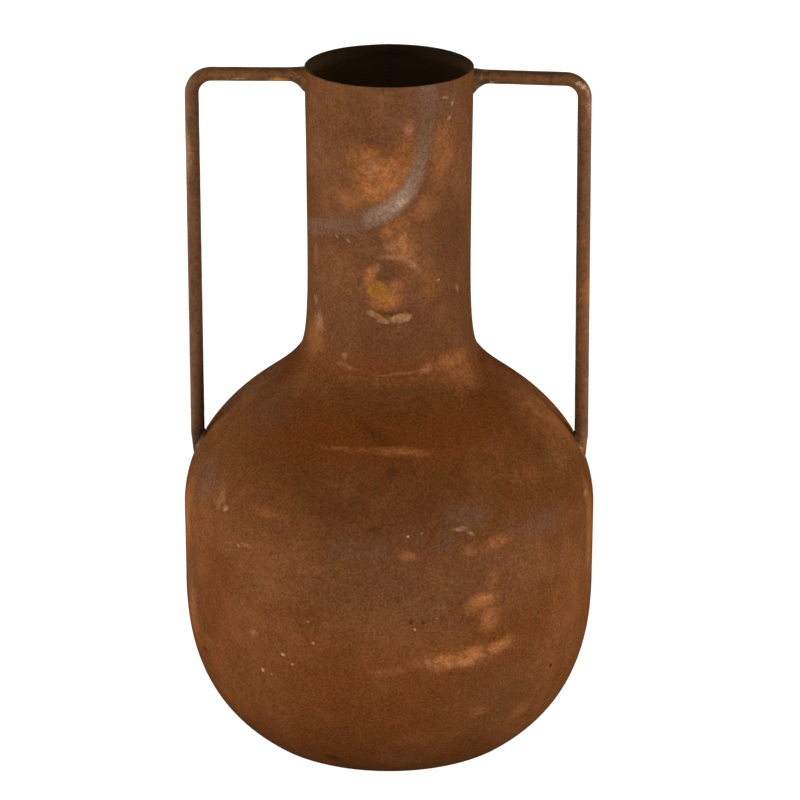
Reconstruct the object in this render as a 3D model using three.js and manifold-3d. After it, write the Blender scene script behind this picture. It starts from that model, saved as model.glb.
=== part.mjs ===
import * as THREE from 'three';
import { mergeVertices } from 'three/addons/utils/BufferGeometryUtils.js';
import Module from 'manifold-3d';

// A tall-necked iron vase with two handles, welded from spun and rolled sheet and from round bar.
// Millimetres, +Z up. The origin is the middle of the flat base, and the front faces -Y.

const wasm = await Module();
wasm.setup();

// Heights of the four sheet shells, stacked from the base up, and the sheet they are made of
const BOWL_HEIGHT = 90;
const BAND_HEIGHT = 60;
const DOME_HEIGHT = 83;
const NECK_LENGTH = 167;
const SHEET = 1.2;

// Outside radii
const BELLY_RADIUS = 120;
const BASE_RADIUS = 81.8;
const NECK_RADIUS = 46.8;
const NECK_FOOT_FLARE = 4.4;
const MOUTH_FLARE = 0.8;

// The band's upper edge leans in over this height. The dome turns from crowned to hollow
// this far outside the neck's foot and this far below it.
const BAND_LEAN_HEIGHT = 13.2;
const TURN_OUT = 28.8;
const TURN_DROP = 26.4;
const WAIST_RISE = 55.5;

// Slopes of the outline, in degrees from the outward horizontal
const BASE_SLOPE = 38;
const TURN_SLOPE = 143;
const DOME_TOP_SLOPE = 123;
const NECK_FOOT_SLOPE = 111;
const MOUTH_SLOPE = 88.5;

// How far each slope carries into the curve beside it
const BASE_CARRY = 28.8;
const BOWL_TOP_CARRY = 47.7;
const BELLY_CARRY = 35.1;
const TURN_CARRY_DOWN = 18.9;
const TURN_CARRY_UP = 14.6;
const DOME_TOP_CARRY = 13;
const NECK_FOOT_CARRY = 6.4;
const WAIST_CARRY_DOWN = 42.6;
const WAIST_CARRY_UP = 5;
const MOUTH_CARRY = 20;

// Welds between the shells, ground nearly flush outside and left proud inside
const WELD_WIDTH = 2.4;
const WELD_CROWN = 0.3;
const WELD_ROOT = 0.7;

// Round bar of the handles. The drops are from the rim to the bar's middle line, and the insets
// from the belly's widest radius. The right handle was bent a little lower and leans a little more.
const ROD_DIAMETER = 8;
const ROD_BEND_RADIUS = 11.2;
const ROD_CLEARANCE = 0.3;
const LEFT_DROP_AT_NECK = 5.3;
const LEFT_DROP_AT_BEND = 5;
const LEFT_INSET_AT_BEND = 9;
const LEFT_INSET_AT_FOOT = 8.4;
const RIGHT_DROP_AT_NECK = 6.4;
const RIGHT_DROP_AT_BEND = 8.4;
const RIGHT_INSET_AT_BEND = 10;
const RIGHT_INSET_AT_FOOT = 7.7;

// The outside of each foot is ground away on a slant, from this far above where the bar lands
const GRIND_RISE = 9;
const GRIND_ANGLE = 7;

// Fillet welds of the handles: hanging under the bar at the neck, all round it at the foot
const NECK_FILLET_LENGTH = 9;
const NECK_FILLET_DROP = 6.2;
const FOOT_FILLET_RISE = 5;
const FOOT_FILLET_LEG = 2.2;
const FILLET_EMBED = 4;

// Facets. The steps are those of the outline's five curves, from the base up.
const BODY_SIDES = 60;
const BOWL_STEPS = 9;
const SHOULDER_STEPS = 9;
const DOME_TOP_STEPS = 4;
const WAIST_STEPS = 5;
const MOUTH_STEPS = 3;
const ROD_SIDES = 16;
const BEND_STEPS = 7;
const FILLET_STEPS = 4;

const bowlTop = BOWL_HEIGHT;
const bandTop = bowlTop + BAND_HEIGHT;
const bellyTop = bandTop - BAND_LEAN_HEIGHT;
const domeTop = bandTop + DOME_HEIGHT;
const rim = domeTop + NECK_LENGTH;
const neckFootRadius = NECK_RADIUS + NECK_FOOT_FLARE;
const rodRadius = ROD_DIAMETER / 2;

// A point of the outline: radius across, height up.
function at(radius, height) {
  return new THREE.Vector2(radius, height);
}

function direction(degrees) {
  const angle = THREE.MathUtils.degToRad(degrees);
  return new THREE.Vector2(Math.cos(angle), Math.sin(angle));
}

// One smooth stretch of the outline, from one sloped end to the other, without its first point.
function stretch(from, to, steps) {
  const leave = from.point.clone().addScaledVector(direction(from.slope), from.carry);
  const arrive = to.point.clone().addScaledVector(direction(to.slope), -to.carry);
  return new THREE.CubicBezierCurve(from.point, leave, arrive, to.point).getPoints(steps).slice(1);
}

// The outside of the whole body, from the edge of the flat base to the rim. The only corner
// is at the neck's foot, where the rolled neck is welded to the spun dome.
function bodyOutline() {
  const baseEdge = at(BASE_RADIUS, 0);
  const bellyLow = at(BELLY_RADIUS, bowlTop);
  const bellyHigh = at(BELLY_RADIUS, bellyTop);
  const turn = at(neckFootRadius + TURN_OUT, domeTop - TURN_DROP);
  const neckFoot = at(neckFootRadius, domeTop);
  const waist = at(NECK_RADIUS, domeTop + WAIST_RISE);
  const mouth = at(NECK_RADIUS + MOUTH_FLARE, rim);
  return [
    baseEdge,
    ...stretch(
      { point: baseEdge, slope: BASE_SLOPE, carry: BASE_CARRY },
      { point: bellyLow, slope: 90, carry: BOWL_TOP_CARRY }, BOWL_STEPS),
    ...stretch(
      { point: bellyHigh, slope: 90, carry: BELLY_CARRY },
      { point: turn, slope: TURN_SLOPE, carry: TURN_CARRY_DOWN }, SHOULDER_STEPS),
    ...stretch(
      { point: turn, slope: TURN_SLOPE, carry: TURN_CARRY_UP },
      { point: neckFoot, slope: DOME_TOP_SLOPE, carry: DOME_TOP_CARRY }, DOME_TOP_STEPS),
    ...stretch(
      { point: neckFoot, slope: NECK_FOOT_SLOPE, carry: NECK_FOOT_CARRY },
      { point: waist, slope: 90, carry: WAIST_CARRY_DOWN }, WAIST_STEPS),
    ...stretch(
      { point: waist, slope: 90, carry: WAIST_CARRY_UP },
      { point: mouth, slope: MOUTH_SLOPE, carry: MOUTH_CARRY }, MOUTH_STEPS),
  ];
}

// The outline moved away from the axis by a distance, or towards it by a negative one.
function offset(points, distance) {
  return points.map((point, index) => {
    const before = points[Math.max(index - 1, 0)];
    const after = points[Math.min(index + 1, points.length - 1)];
    const along = after.clone().sub(before).normalize();
    return at(point.x + distance * along.y, point.y - distance * along.x);
  });
}

// The radius of an outline at a height. The end pieces carry on straight past their ends.
function radiusAt(points, height) {
  const found = points.findIndex((point) => point.y >= height);
  const index = found < 0 ? points.length - 1 : Math.max(found, 1);
  const low = points[index - 1];
  const high = points[index];
  return low.x + (high.x - low.x) * (height - low.y) / (high.y - low.y);
}

// The height at which the shoulder, above the belly, has come in to a radius.
function shoulderHeightAt(radius) {
  const shoulder = outline.filter((point) => point.y >= bellyTop && point.y <= domeTop);
  const index = Math.max(shoulder.findIndex((point) => point.x <= radius), 1);
  const low = shoulder[index - 1];
  const high = shoulder[index];
  return low.y + (high.y - low.y) * (radius - low.x) / (high.x - low.x);
}

// The part of an outline between two heights, cut square there.
function between(points, low, high) {
  const margin = SHEET / 2;
  const inside = points.filter((point) => point.y > low + margin && point.y < high - margin);
  return [at(radiusAt(points, low), low), ...inside, at(radiusAt(points, high), high)];
}

// A geometry with its shared vertices merged and its collapsed triangles left out.
function closed(geometry) {
  geometry.deleteAttribute('normal');
  geometry.deleteAttribute('uv');
  const merged = mergeVertices(geometry);
  const kept = [];
  const corners = merged.getIndex().array;
  for (let first = 0; first < corners.length; first += 3) {
    const [a, b, c] = corners.slice(first, first + 3);
    if (a !== b && b !== c && c !== a) {
      kept.push(a, b, c);
    }
  }
  merged.setIndex(kept);
  return merged;
}

// The same geometry with its faces turned out, whichever way they were.
function facingOut(geometry) {
  const place = geometry.getAttribute('position');
  const corners = Array.from(geometry.getIndex().array);
  const [a, b, c] = [new THREE.Vector3(), new THREE.Vector3(), new THREE.Vector3()];
  let volume = 0;
  for (let first = 0; first < corners.length; first += 3) {
    a.fromBufferAttribute(place, corners[first]);
    b.fromBufferAttribute(place, corners[first + 1]);
    c.fromBufferAttribute(place, corners[first + 2]);
    volume += a.dot(b.cross(c));
  }
  if (volume < 0) {
    corners.reverse();
    geometry.setIndex(corners);
  }
  return geometry;
}

function toSolid(geometry) {
  const vertProperties = new Float32Array(geometry.getAttribute('position').array);
  const triVerts = new Uint32Array(geometry.getIndex().array);
  return new wasm.Manifold(new wasm.Mesh({ numProp: 3, vertProperties, triVerts }));
}

function toGeometry(solid) {
  const mesh = solid.getMesh();
  const geometry = new THREE.BufferGeometry();
  geometry.setAttribute('position', new THREE.BufferAttribute(mesh.vertProperties, 3));
  geometry.setIndex(Array.from(mesh.triVerts));
  return geometry;
}

// A profile turned about the body's axis. It starts and ends on the axis or closes on itself.
function turned(profile) {
  const geometry = new THREE.LatheGeometry(profile, BODY_SIDES);
  geometry.rotateX(Math.PI / 2);
  return facingOut(closed(geometry));
}

// A block between two corners, given as [x, y, z].
function block(low, high) {
  const [width, depth, height] = high.map((value, axis) => value - low[axis]);
  const geometry = new THREE.BoxGeometry(width, depth, height);
  geometry.translate(...low.map((value, axis) => (value + high[axis]) / 2));
  return closed(geometry);
}

// A solid through a row of matching rings of points, closed flat at both ends.
function lofted(rings) {
  const count = rings[0].length;
  const lastRing = (rings.length - 1) * count;
  const corners = [];
  for (let ring = 0; ring < rings.length - 1; ring += 1) {
    for (let side = 0; side < count; side += 1) {
      const here = ring * count + side;
      const beside = ring * count + (side + 1) % count;
      corners.push(here, beside, beside + count, here, beside + count, here + count);
    }
  }
  for (let side = 1; side < count - 1; side += 1) {
    corners.push(0, side + 1, side, lastRing, lastRing + side, lastRing + side + 1);
  }
  const geometry = new THREE.BufferGeometry().setFromPoints(rings.flat());
  geometry.setIndex(corners);
  return facingOut(geometry);
}

// Points round a centre, in the plane of two directions at right angles.
function ring(centre, across, up, radius) {
  return Array.from({ length: ROD_SIDES }, (_, side) => {
    const angle = (side / ROD_SIDES) * 2 * Math.PI;
    return centre.clone()
      .addScaledVector(across, radius * Math.cos(angle))
      .addScaledVector(up, radius * Math.sin(angle));
  });
}

const outline = bodyOutline();
const innerOutline = offset(outline, -SHEET);

// A shell of sheet between two heights of the body, open at both ends.
function shell(low, high) {
  const outside = between(outline, low, high);
  const inside = between(innerOutline, low, high).reverse();
  return turned([...outside, ...inside, outside[0]]);
}

// The bowl: a flat base that turns up into the side in one spun piece.
function bowl(high) {
  const outside = between(outline, 0, high);
  const inside = between(innerOutline, SHEET, high).reverse();
  return turned([at(0, 0), ...outside, ...inside, at(0, SHEET)]);
}

// The weld between two shells. It meets both on flat rings, with a low crown outside and a
// rounder root inside.
function seamRing(height) {
  const low = height - WELD_WIDTH / 2;
  const high = height + WELD_WIDTH / 2;
  const rounded = (points, rise) => [
    at(radiusAt(points, low), low),
    at(radiusAt(points, height) + rise, height),
    at(radiusAt(points, high), high),
  ];
  const outside = rounded(outline, WELD_CROWN);
  const inside = rounded(innerOutline, -WELD_ROOT).reverse();
  return turned([...outside, ...inside, outside[0]]);
}

// The block of space that a lengthwise seam takes up, at the back of a rolled shell.
function seamSpace(low, high) {
  const half = WELD_WIDTH / 2;
  return toSolid(block([-half, 0, low], [half, BELLY_RADIUS + ROD_DIAMETER, high]));
}

// A shell rolled from flat sheet, so that it has a straight slot where its edges are welded.
function rolledShell(low, high) {
  const slot = seamSpace(low - SHEET, high + SHEET);
  return toGeometry(toSolid(shell(low, high)).subtract(slot));
}

// The straight weld that fills the slot of a rolled shell, a little proud on both sides.
function straightSeam(low, high) {
  const outside = between(offset(outline, WELD_CROWN), low, high);
  const inside = between(offset(outline, -SHEET - WELD_ROOT), low, high).reverse();
  const bead = toSolid(turned([...outside, ...inside, outside[0]]));
  return toGeometry(bead.intersect(seamSpace(low - SHEET, high + SHEET)));
}

// The whole body as one full form, larger by the bar's clearance, to cope the bars and welds with.
function copingForm() {
  const grown = offset(outline, ROD_CLEARANCE);
  const foot = at(0, grown[0].y);
  const top = at(0, grown[grown.length - 1].y);
  return toSolid(turned([foot, ...grown, top]));
}

// The middle line of one handle: along from the neck, round the bend and down to the shoulder.
class HandleLine {
  constructor(side, dropAtNeck, dropAtBend, insetAtBend, insetAtFoot) {
    this.side = side;
    this.footRadius = BELLY_RADIUS - insetAtFoot;
    this.footHeight = shoulderHeightAt(this.footRadius);
    this.neck = this.place(radiusAt(outline, rim - dropAtNeck), rim - dropAtNeck);
    this.corner = this.place(BELLY_RADIUS - insetAtBend, rim - dropAtBend);
    this.foot = this.place(this.footRadius, this.footHeight);
    this.outward = this.corner.clone().sub(this.neck).normalize();
    this.downward = this.foot.clone().sub(this.corner).normalize();
  }

  // A point in the handles' plane, on this handle's side of the vase.
  place(radius, height) {
    return new THREE.Vector3(this.side * radius, 0, height);
  }

  // Points of the bend, which touches both straight runs.
  bend() {
    const turn = this.outward.angleTo(this.downward);
    const reach = ROD_BEND_RADIUS * Math.tan(turn / 2);
    const start = this.corner.clone().addScaledVector(this.outward, -reach);
    const axis = new THREE.Vector3(0, this.side, 0);
    const towardsCentre = this.outward.clone().applyAxisAngle(axis, Math.PI / 2);
    const centre = start.clone().addScaledVector(towardsCentre, ROD_BEND_RADIUS);
    const spoke = start.sub(centre);
    return Array.from({ length: BEND_STEPS + 1 }, (_, step) => (
      spoke.clone().applyAxisAngle(axis, turn * step / BEND_STEPS).add(centre)));
  }

  // The full line, run on past the neck's wall and the shoulder so that both can cope it.
  points() {
    const start = this.neck.clone().addScaledVector(this.outward, -ROD_DIAMETER);
    const lowest = shoulderHeightAt(this.footRadius + rodRadius) - ROD_DIAMETER;
    const depth = (this.corner.z - lowest) / -this.downward.z;
    const end = this.corner.clone().addScaledVector(this.downward, depth);
    return [start, ...this.bend(), end];
  }
}

// A round bar along a handle's line.
function bar(line, radius) {
  const points = line.points();
  const last = points.length - 1;
  const across = new THREE.Vector3(0, 1, 0);
  const rings = points.map((point, index) => {
    const before = points[Math.max(index - 1, 0)];
    const after = points[Math.min(index + 1, last)];
    const up = across.clone().cross(after.clone().sub(before)).normalize();
    return ring(point, across, up, radius);
  });
  return toSolid(lofted(rings));
}

// The slab that the grinder takes off the outside of a foot.
function grindSlab(line) {
  const size = 4 * ROD_DIAMETER;
  const geometry = new THREE.BoxGeometry(size, size, size);
  geometry.translate(line.side * size / 2, 0, -size / 2);
  geometry.rotateY(line.side * THREE.MathUtils.degToRad(GRIND_ANGLE));
  geometry.translate(line.foot.x + line.side * rodRadius, 0, line.footHeight + GRIND_RISE);
  return toSolid(closed(geometry));
}

// A handle: the bent bar, coped to the neck and the shoulder and ground at the foot.
function handle(line) {
  return toGeometry(bar(line, rodRadius).subtract(coping).subtract(grindSlab(line)));
}

// How much of a fillet is left at a share of the way along it: all at the start, none at the end.
function hollowTaper(share) {
  return (1 - share) ** 2;
}

// The shares at which a fillet has a ring.
function filletShares() {
  return Array.from({ length: FILLET_STEPS + 1 }, (_, step) => step / FILLET_STEPS);
}

// The weld at the neck. Every ring touches the top of the bar, so the metal hangs below it.
function neckFillet(line) {
  const across = new THREE.Vector3(0, 1, 0);
  const up = across.clone().cross(line.outward).multiplyScalar(-line.side);
  const hanging = (distance, drop) => {
    const centre = line.neck.clone().addScaledVector(line.outward, distance);
    centre.addScaledVector(up, -Math.abs(drop) / 2);
    return ring(centre, across, up, rodRadius + drop / 2);
  };
  const rings = filletShares().map((share) => (
    hanging(share * NECK_FILLET_LENGTH, NECK_FILLET_DROP * hollowTaper(share))));
  rings.unshift(hanging(-FILLET_EMBED, NECK_FILLET_DROP));
  return cutToSeat(toSolid(lofted(rings)), line);
}

// The weld at the foot. Its rings slope with the shoulder that they stand on.
function footFillet(line) {
  const inner = shoulderHeightAt(line.footRadius - rodRadius);
  const outer = shoulderHeightAt(line.footRadius + rodRadius);
  const fall = line.side * (outer - inner) / ROD_DIAMETER;
  const across = new THREE.Vector3(0, 1, 0);
  const sloping = new THREE.Vector3(1, 0, fall);
  const standing = (rise, leg) => {
    const centre = line.foot.clone().addScaledVector(line.downward, -rise);
    return ring(centre, across, sloping, rodRadius + leg);
  };
  const rings = filletShares().map((share) => (
    standing(share * FOOT_FILLET_RISE, FOOT_FILLET_LEG * hollowTaper(share))));
  rings.unshift(standing(-FILLET_EMBED, FOOT_FILLET_LEG));
  return cutToSeat(toSolid(lofted(rings)).subtract(grindSlab(line)), line);
}

// A fillet weld, cut clear of the bar and the body that it joins.
function cutToSeat(solid, line) {
  return toGeometry(solid.subtract(bar(line, rodRadius + ROD_CLEARANCE)).subtract(coping));
}

const coping = copingForm();

const rustySheet = new THREE.MeshStandardMaterial({ color: 0x6b4025, roughness: 0.82, metalness: 0.25 });
const rustyBar = new THREE.MeshStandardMaterial({ color: 0x5c3a25, roughness: 0.75, metalness: 0.35 });
const rustyWeld = new THREE.MeshStandardMaterial({ color: 0x744528, roughness: 0.85, metalness: 0.3 });

function piece(name, geometry, material) {
  geometry.computeVertexNormals();
  const mesh = new THREE.Mesh(geometry, material);
  mesh.name = name;
  return mesh;
}

// The sheet body. Each shell stops half a weld's width short of a seam.
function body() {
  const half = WELD_WIDTH / 2;
  const group = new THREE.Group();
  group.add(
    piece('base_bowl', bowl(bowlTop - half), rustySheet),
    piece('base_weld_ring', seamRing(bowlTop), rustyWeld),
    piece('belly_band', rolledShell(bowlTop + half, bandTop - half), rustySheet),
    piece('band_seam_weld', straightSeam(bowlTop + half, bandTop - half), rustyWeld),
    piece('shoulder_weld_ring', seamRing(bandTop), rustyWeld),
    piece('shoulder_dome', shell(bandTop + half, domeTop - half), rustySheet),
    piece('neck_weld_ring', seamRing(domeTop), rustyWeld),
    piece('neck_tube', rolledShell(domeTop + half, rim), rustySheet),
    piece('neck_seam_weld', straightSeam(domeTop + half, rim), rustyWeld),
  );
  return group;
}

// One handle with its two welds.
function weldedHandle(name, line) {
  const group = new THREE.Group();
  group.add(
    piece(name, handle(line), rustyBar),
    piece(`${name}_neck_weld`, neckFillet(line), rustyWeld),
    piece(`${name}_foot_weld`, footFillet(line), rustyWeld),
  );
  return group;
}

const leftLine = new HandleLine(
  -1, LEFT_DROP_AT_NECK, LEFT_DROP_AT_BEND, LEFT_INSET_AT_BEND, LEFT_INSET_AT_FOOT);
const rightLine = new HandleLine(
  1, RIGHT_DROP_AT_NECK, RIGHT_DROP_AT_BEND, RIGHT_INSET_AT_BEND, RIGHT_INSET_AT_FOOT);

const vase = new THREE.Group();
vase.add(
  body(),
  weldedHandle('handle_left', leftLine),
  weldedHandle('handle_right', rightLine),
);

export default vase;
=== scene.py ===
"""A tall-necked vase with two handles, welded from rusted sheet iron and round bar.

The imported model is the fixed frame. Every piece here is a finer mesh of the same form, drawn
from the same sizes, and stands for one solid of the frame. Sizes are in millimetres and turned
into metres when a mesh is made. Angles round the vase are in degrees from the front, -Y, and
grow towards the right, +X.
"""

import logging
import math
from bisect import bisect_left
from collections.abc import Callable, Iterable, Sequence
from dataclasses import dataclass
from enum import Enum
from functools import cached_property

import bmesh
import bpy
from mathutils import Matrix, Vector, noise


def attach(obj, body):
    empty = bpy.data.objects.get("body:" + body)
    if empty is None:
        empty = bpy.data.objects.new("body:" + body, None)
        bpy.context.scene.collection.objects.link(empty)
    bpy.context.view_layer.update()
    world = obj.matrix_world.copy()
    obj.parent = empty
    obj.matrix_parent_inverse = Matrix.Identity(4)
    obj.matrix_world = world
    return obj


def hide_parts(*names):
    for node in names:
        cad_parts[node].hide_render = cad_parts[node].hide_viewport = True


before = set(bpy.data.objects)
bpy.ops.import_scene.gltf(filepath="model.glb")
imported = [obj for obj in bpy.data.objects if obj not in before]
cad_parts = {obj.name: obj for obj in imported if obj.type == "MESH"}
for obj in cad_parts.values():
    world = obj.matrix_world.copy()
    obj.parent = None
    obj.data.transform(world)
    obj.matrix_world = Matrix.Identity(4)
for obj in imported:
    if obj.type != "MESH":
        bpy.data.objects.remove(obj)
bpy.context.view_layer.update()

MM = 0.001
BODY = "root"

log = logging.getLogger("vase")

Point = tuple[float, float]
Triple = tuple[float, float, float]
Colour = tuple[float, float, float, float]
Material = bpy.types.Material


def srgb(red: int, green: int, blue: int) -> Colour:
    """Turns a colour as a screen shows it into the linear colour that a shader takes.

    Args:
        red: Red, from 0 to 255.
        green: Green, from 0 to 255.
        blue: Blue, from 0 to 255.

    Returns:
        The linear colour with an alpha of 1.
    """
    def linear(level: int) -> float:
        """The linear value of one channel."""
        share = level / 255
        return share / 12.92 if share <= 0.04045 else ((share + 0.055) / 1.055) ** 2.4

    return (linear(red), linear(green), linear(blue), 1.0)


class Wire:
    """An output socket of a shader tree, with arithmetic that adds Math nodes."""

    def __init__(self, bench: "NodeBench", node: bpy.types.Node, output: str | int = 0) -> None:
        """Keeps the node and the bench that adds nodes beside it.

        Args:
            bench: The bench whose tree holds the node.
            node: The node.
            output: The name or the number of its output.
        """
        self.bench = bench
        self.node = node
        self.output = output

    @property
    def socket(self) -> bpy.types.NodeSocket:
        """The output socket."""
        return self.node.outputs[self.output]

    def beside(self, output: str) -> "Wire":
        """Another output of the same node."""
        return Wire(self.bench, self.node, output)

    def math(self, operation: str, *others: "Wire | float") -> "Wire":
        """The result of a Math node that has this wire first."""
        return self.bench.math(operation, self, *others)

    def __add__(self, other: "Wire | float") -> "Wire":
        """This wire plus another."""
        return self.math("ADD", other)

    def __radd__(self, other: float) -> "Wire":
        """A number plus this wire."""
        return self.math("ADD", other)

    def __sub__(self, other: "Wire | float") -> "Wire":
        """This wire minus another."""
        return self.math("SUBTRACT", other)

    def __rsub__(self, other: float) -> "Wire":
        """A number minus this wire."""
        return self.bench.math("SUBTRACT", other, self)

    def __mul__(self, other: "Wire | float") -> "Wire":
        """This wire times another."""
        return self.math("MULTIPLY", other)

    def __rmul__(self, other: float) -> "Wire":
        """A number times this wire."""
        return self.math("MULTIPLY", other)

    def __truediv__(self, other: "Wire | float") -> "Wire":
        """This wire divided by another."""
        return self.math("DIVIDE", other)

    def largest(self, other: "Wire | float") -> "Wire":
        """The larger of this wire and another."""
        return self.math("MAXIMUM", other)

    def size(self) -> "Wire":
        """This wire without its sign."""
        return self.math("ABSOLUTE")

    def rise(self, low: float, high: float, full: "Wire | float" = 1.0) -> "Wire":
        """A smooth step, from 0 at one value of this wire to a full height at another.

        Args:
            low: The value at which the step starts.
            high: The value at which it is full, which may be below low.
            full: The height of the full step.

        Returns:
            The step.
        """
        ends = {"From Min": low, "From Max": high, "To Min": 0.0, "To Max": full}
        return self.bench.node(
            "ShaderNodeMapRange", {"interpolation_type": "SMOOTHSTEP"}, {"Value": self} | ends)


class NodeBench:
    """The node tree of a material or a world, and the ways in which this script adds to it."""

    def __init__(self, owner: Material | bpy.types.World) -> None:
        """Empties the owner's tree.

        Args:
            owner: The material or the world.
        """
        owner.use_nodes = True
        self.owner = owner
        self.tree = owner.node_tree
        self.tree.nodes.clear()

    def node(
        self,
        kind: str,
        settings: dict[str, object] | None = None,
        inputs: dict[str | int, object] | None = None,
        output: str | int = 0,
    ) -> Wire:
        """Adds a node of any type.

        Args:
            kind: The node's type.
            settings: Its settings, set before anything else. "points" are a curve's points.
            inputs: Values or wires for its sockets, by name or number.
            output: The output to return, by name or number.

        Returns:
            The chosen output.
        """
        made = self.tree.nodes.new(kind)
        for key, value in (settings or {}).items():
            if key == "points":
                self._bend_curve(made.mapping, value)
            else:
                setattr(made, key, value)
        for key, value in (inputs or {}).items():
            if isinstance(value, Wire):
                self.tree.links.new(value.socket, made.inputs[key])
            else:
                made.inputs[key].default_value = value
        return Wire(self, made, output)

    @staticmethod
    def _bend_curve(mapping: bpy.types.CurveMapping, points: Sequence[Point]) -> None:
        """Sets the points of a curve.

        Args:
            mapping: The curve's mapping.
            points: Its points, from left to right.
        """
        mapping.use_clip = False
        curve = mapping.curves[0]
        while len(curve.points) < len(points):
            curve.points.new(0.5, 0.5)
        for spot, place in zip(curve.points, points):
            spot.location = place
        mapping.update()

    def math(self, operation: str, *values: Wire | float) -> Wire:
        """The result of a Math node."""
        return self.node("ShaderNodeMath", {"operation": operation}, dict(enumerate(values)))

    def vector(self, operation: str, *values: object, output: str = "Vector") -> Wire:
        """An output of a Vector Math node, whose inputs are wires or triples."""
        return self.node(
            "ShaderNodeVectorMath", {"operation": operation}, dict(enumerate(values)), output)

    def length(self, vector: Wire) -> Wire:
        """The length of a vector."""
        return self.vector("LENGTH", vector, output="Value")

    def parts(self, vector: Wire) -> Wire:
        """The X of a vector, with its Y and its Z beside it."""
        return self.node("ShaderNodeSeparateXYZ", None, {0: vector})

    def curve(self, value: Wire, points: Sequence[Point]) -> Wire:
        """The height of a curve over a value."""
        return self.node("ShaderNodeFloatCurve", {"points": points}, {"Value": value})

    def mix(self, share: Wire | float, first: object, second: object, blend: str = "MIX") -> Wire:
        """Mixes two colours.

        Args:
            share: How much of the second colour there is.
            first: The first colour, or a wire of it.
            second: The second colour, or a wire of it.
            blend: The way of mixing.

        Returns:
            The mixed colour.
        """
        factor, colour_a, colour_b, result = 0, 6, 7, 2
        return self.node(
            "ShaderNodeMix", {"data_type": "RGBA", "blend_type": blend},
            {factor: share, colour_a: first, colour_b: second}, result)

    def place(self) -> Wire:
        """The place on the object, in metres in the vase's frame."""
        return self.node("ShaderNodeTexCoord", output="Object")

    def reach(
        self, place: Wire, middle: Sequence[float], half_sizes: Sequence[float],
        lean: float = 0.0,
    ) -> Wire:
        """How far a place is from the middle of an oval.

        Args:
            place: The place.
            middle: The oval's middle.
            half_sizes: Half the oval's size each way.
            lean: Its turn about the third way, anticlockwise in degrees.

        Returns:
            The distance, which is 1 on the oval's edge.
        """
        turn = (0.0, 0.0, math.radians(lean))
        return self.length(self.node(
            "ShaderNodeMapping", {"vector_type": "TEXTURE"},
            {"Vector": place, "Location": middle, "Rotation": turn, "Scale": half_sizes}))

    def cloud(
        self, place: Wire, size: float, detail: float = 2.0, roughness: float = 0.5,
        output: str = "Fac",
    ) -> Wire:
        """Soft noise with features of a real size.

        Args:
            place: The place to look it up at, in metres.
            size: The size of its features, in millimetres.
            detail: How many finer layers it has.
            roughness: How strong the finer layers are.
            output: "Fac" for one number, "Color" for three.

        Returns:
            The noise, about 0.3 to 0.7.
        """
        return self.node(
            "ShaderNodeTexNoise", {"noise_dimensions": "3D"},
            {"Vector": place, "Scale": 1 / (size * MM), "Detail": detail, "Roughness": roughness},
            output)

    def specks(
        self, place: Wire, spacing: float, radius: float, share: float, soft: float = 0.25,
    ) -> Wire:
        """Round dots scattered at random.

        Args:
            place: The place to look them up at, in metres.
            spacing: The size of the cells that hold one dot each, in millimetres.
            radius: The size of the largest dots, in millimetres.
            share: The share of the cells that show their dot.
            soft: The share of the radius over which a dot fades.

        Returns:
            1 in the dots and 0 between them.
        """
        distance = self.node(
            "ShaderNodeTexVoronoi", {"feature": "F1"},
            {"Vector": place, "Scale": 1 / (spacing * MM)}, "Distance")
        chance = self.node("ShaderNodeSeparateColor", None, {0: distance.beside("Color")})
        reach = chance.rise(1 - share, 1.0, radius / spacing)
        return (reach - distance).rise(0.0, soft * radius / spacing)

    def finish(
        self, colour: Wire, roughness: Wire, height: Wire, depth: float, specular: float,
    ) -> Material:
        """Ends the tree in a Principled shader.

        Args:
            colour: The base colour.
            roughness: The roughness.
            height: The height that the bump comes from, 0 to 1.
            depth: The real height of the bump, in millimetres.
            specular: The shader's specular level.

        Returns:
            The finished material.
        """
        bump = self.node(
            "ShaderNodeBump", None, {"Strength": 1.0, "Distance": depth * MM, "Height": height},
            "Normal")
        shader = self.node(
            "ShaderNodeBsdfPrincipled", None,
            {"Base Color": colour, "Roughness": roughness, "Normal": bump,
             "Specular IOR Level": specular}, "BSDF")
        self.node("ShaderNodeOutputMaterial", None, {"Surface": shader})
        return self.owner


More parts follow.
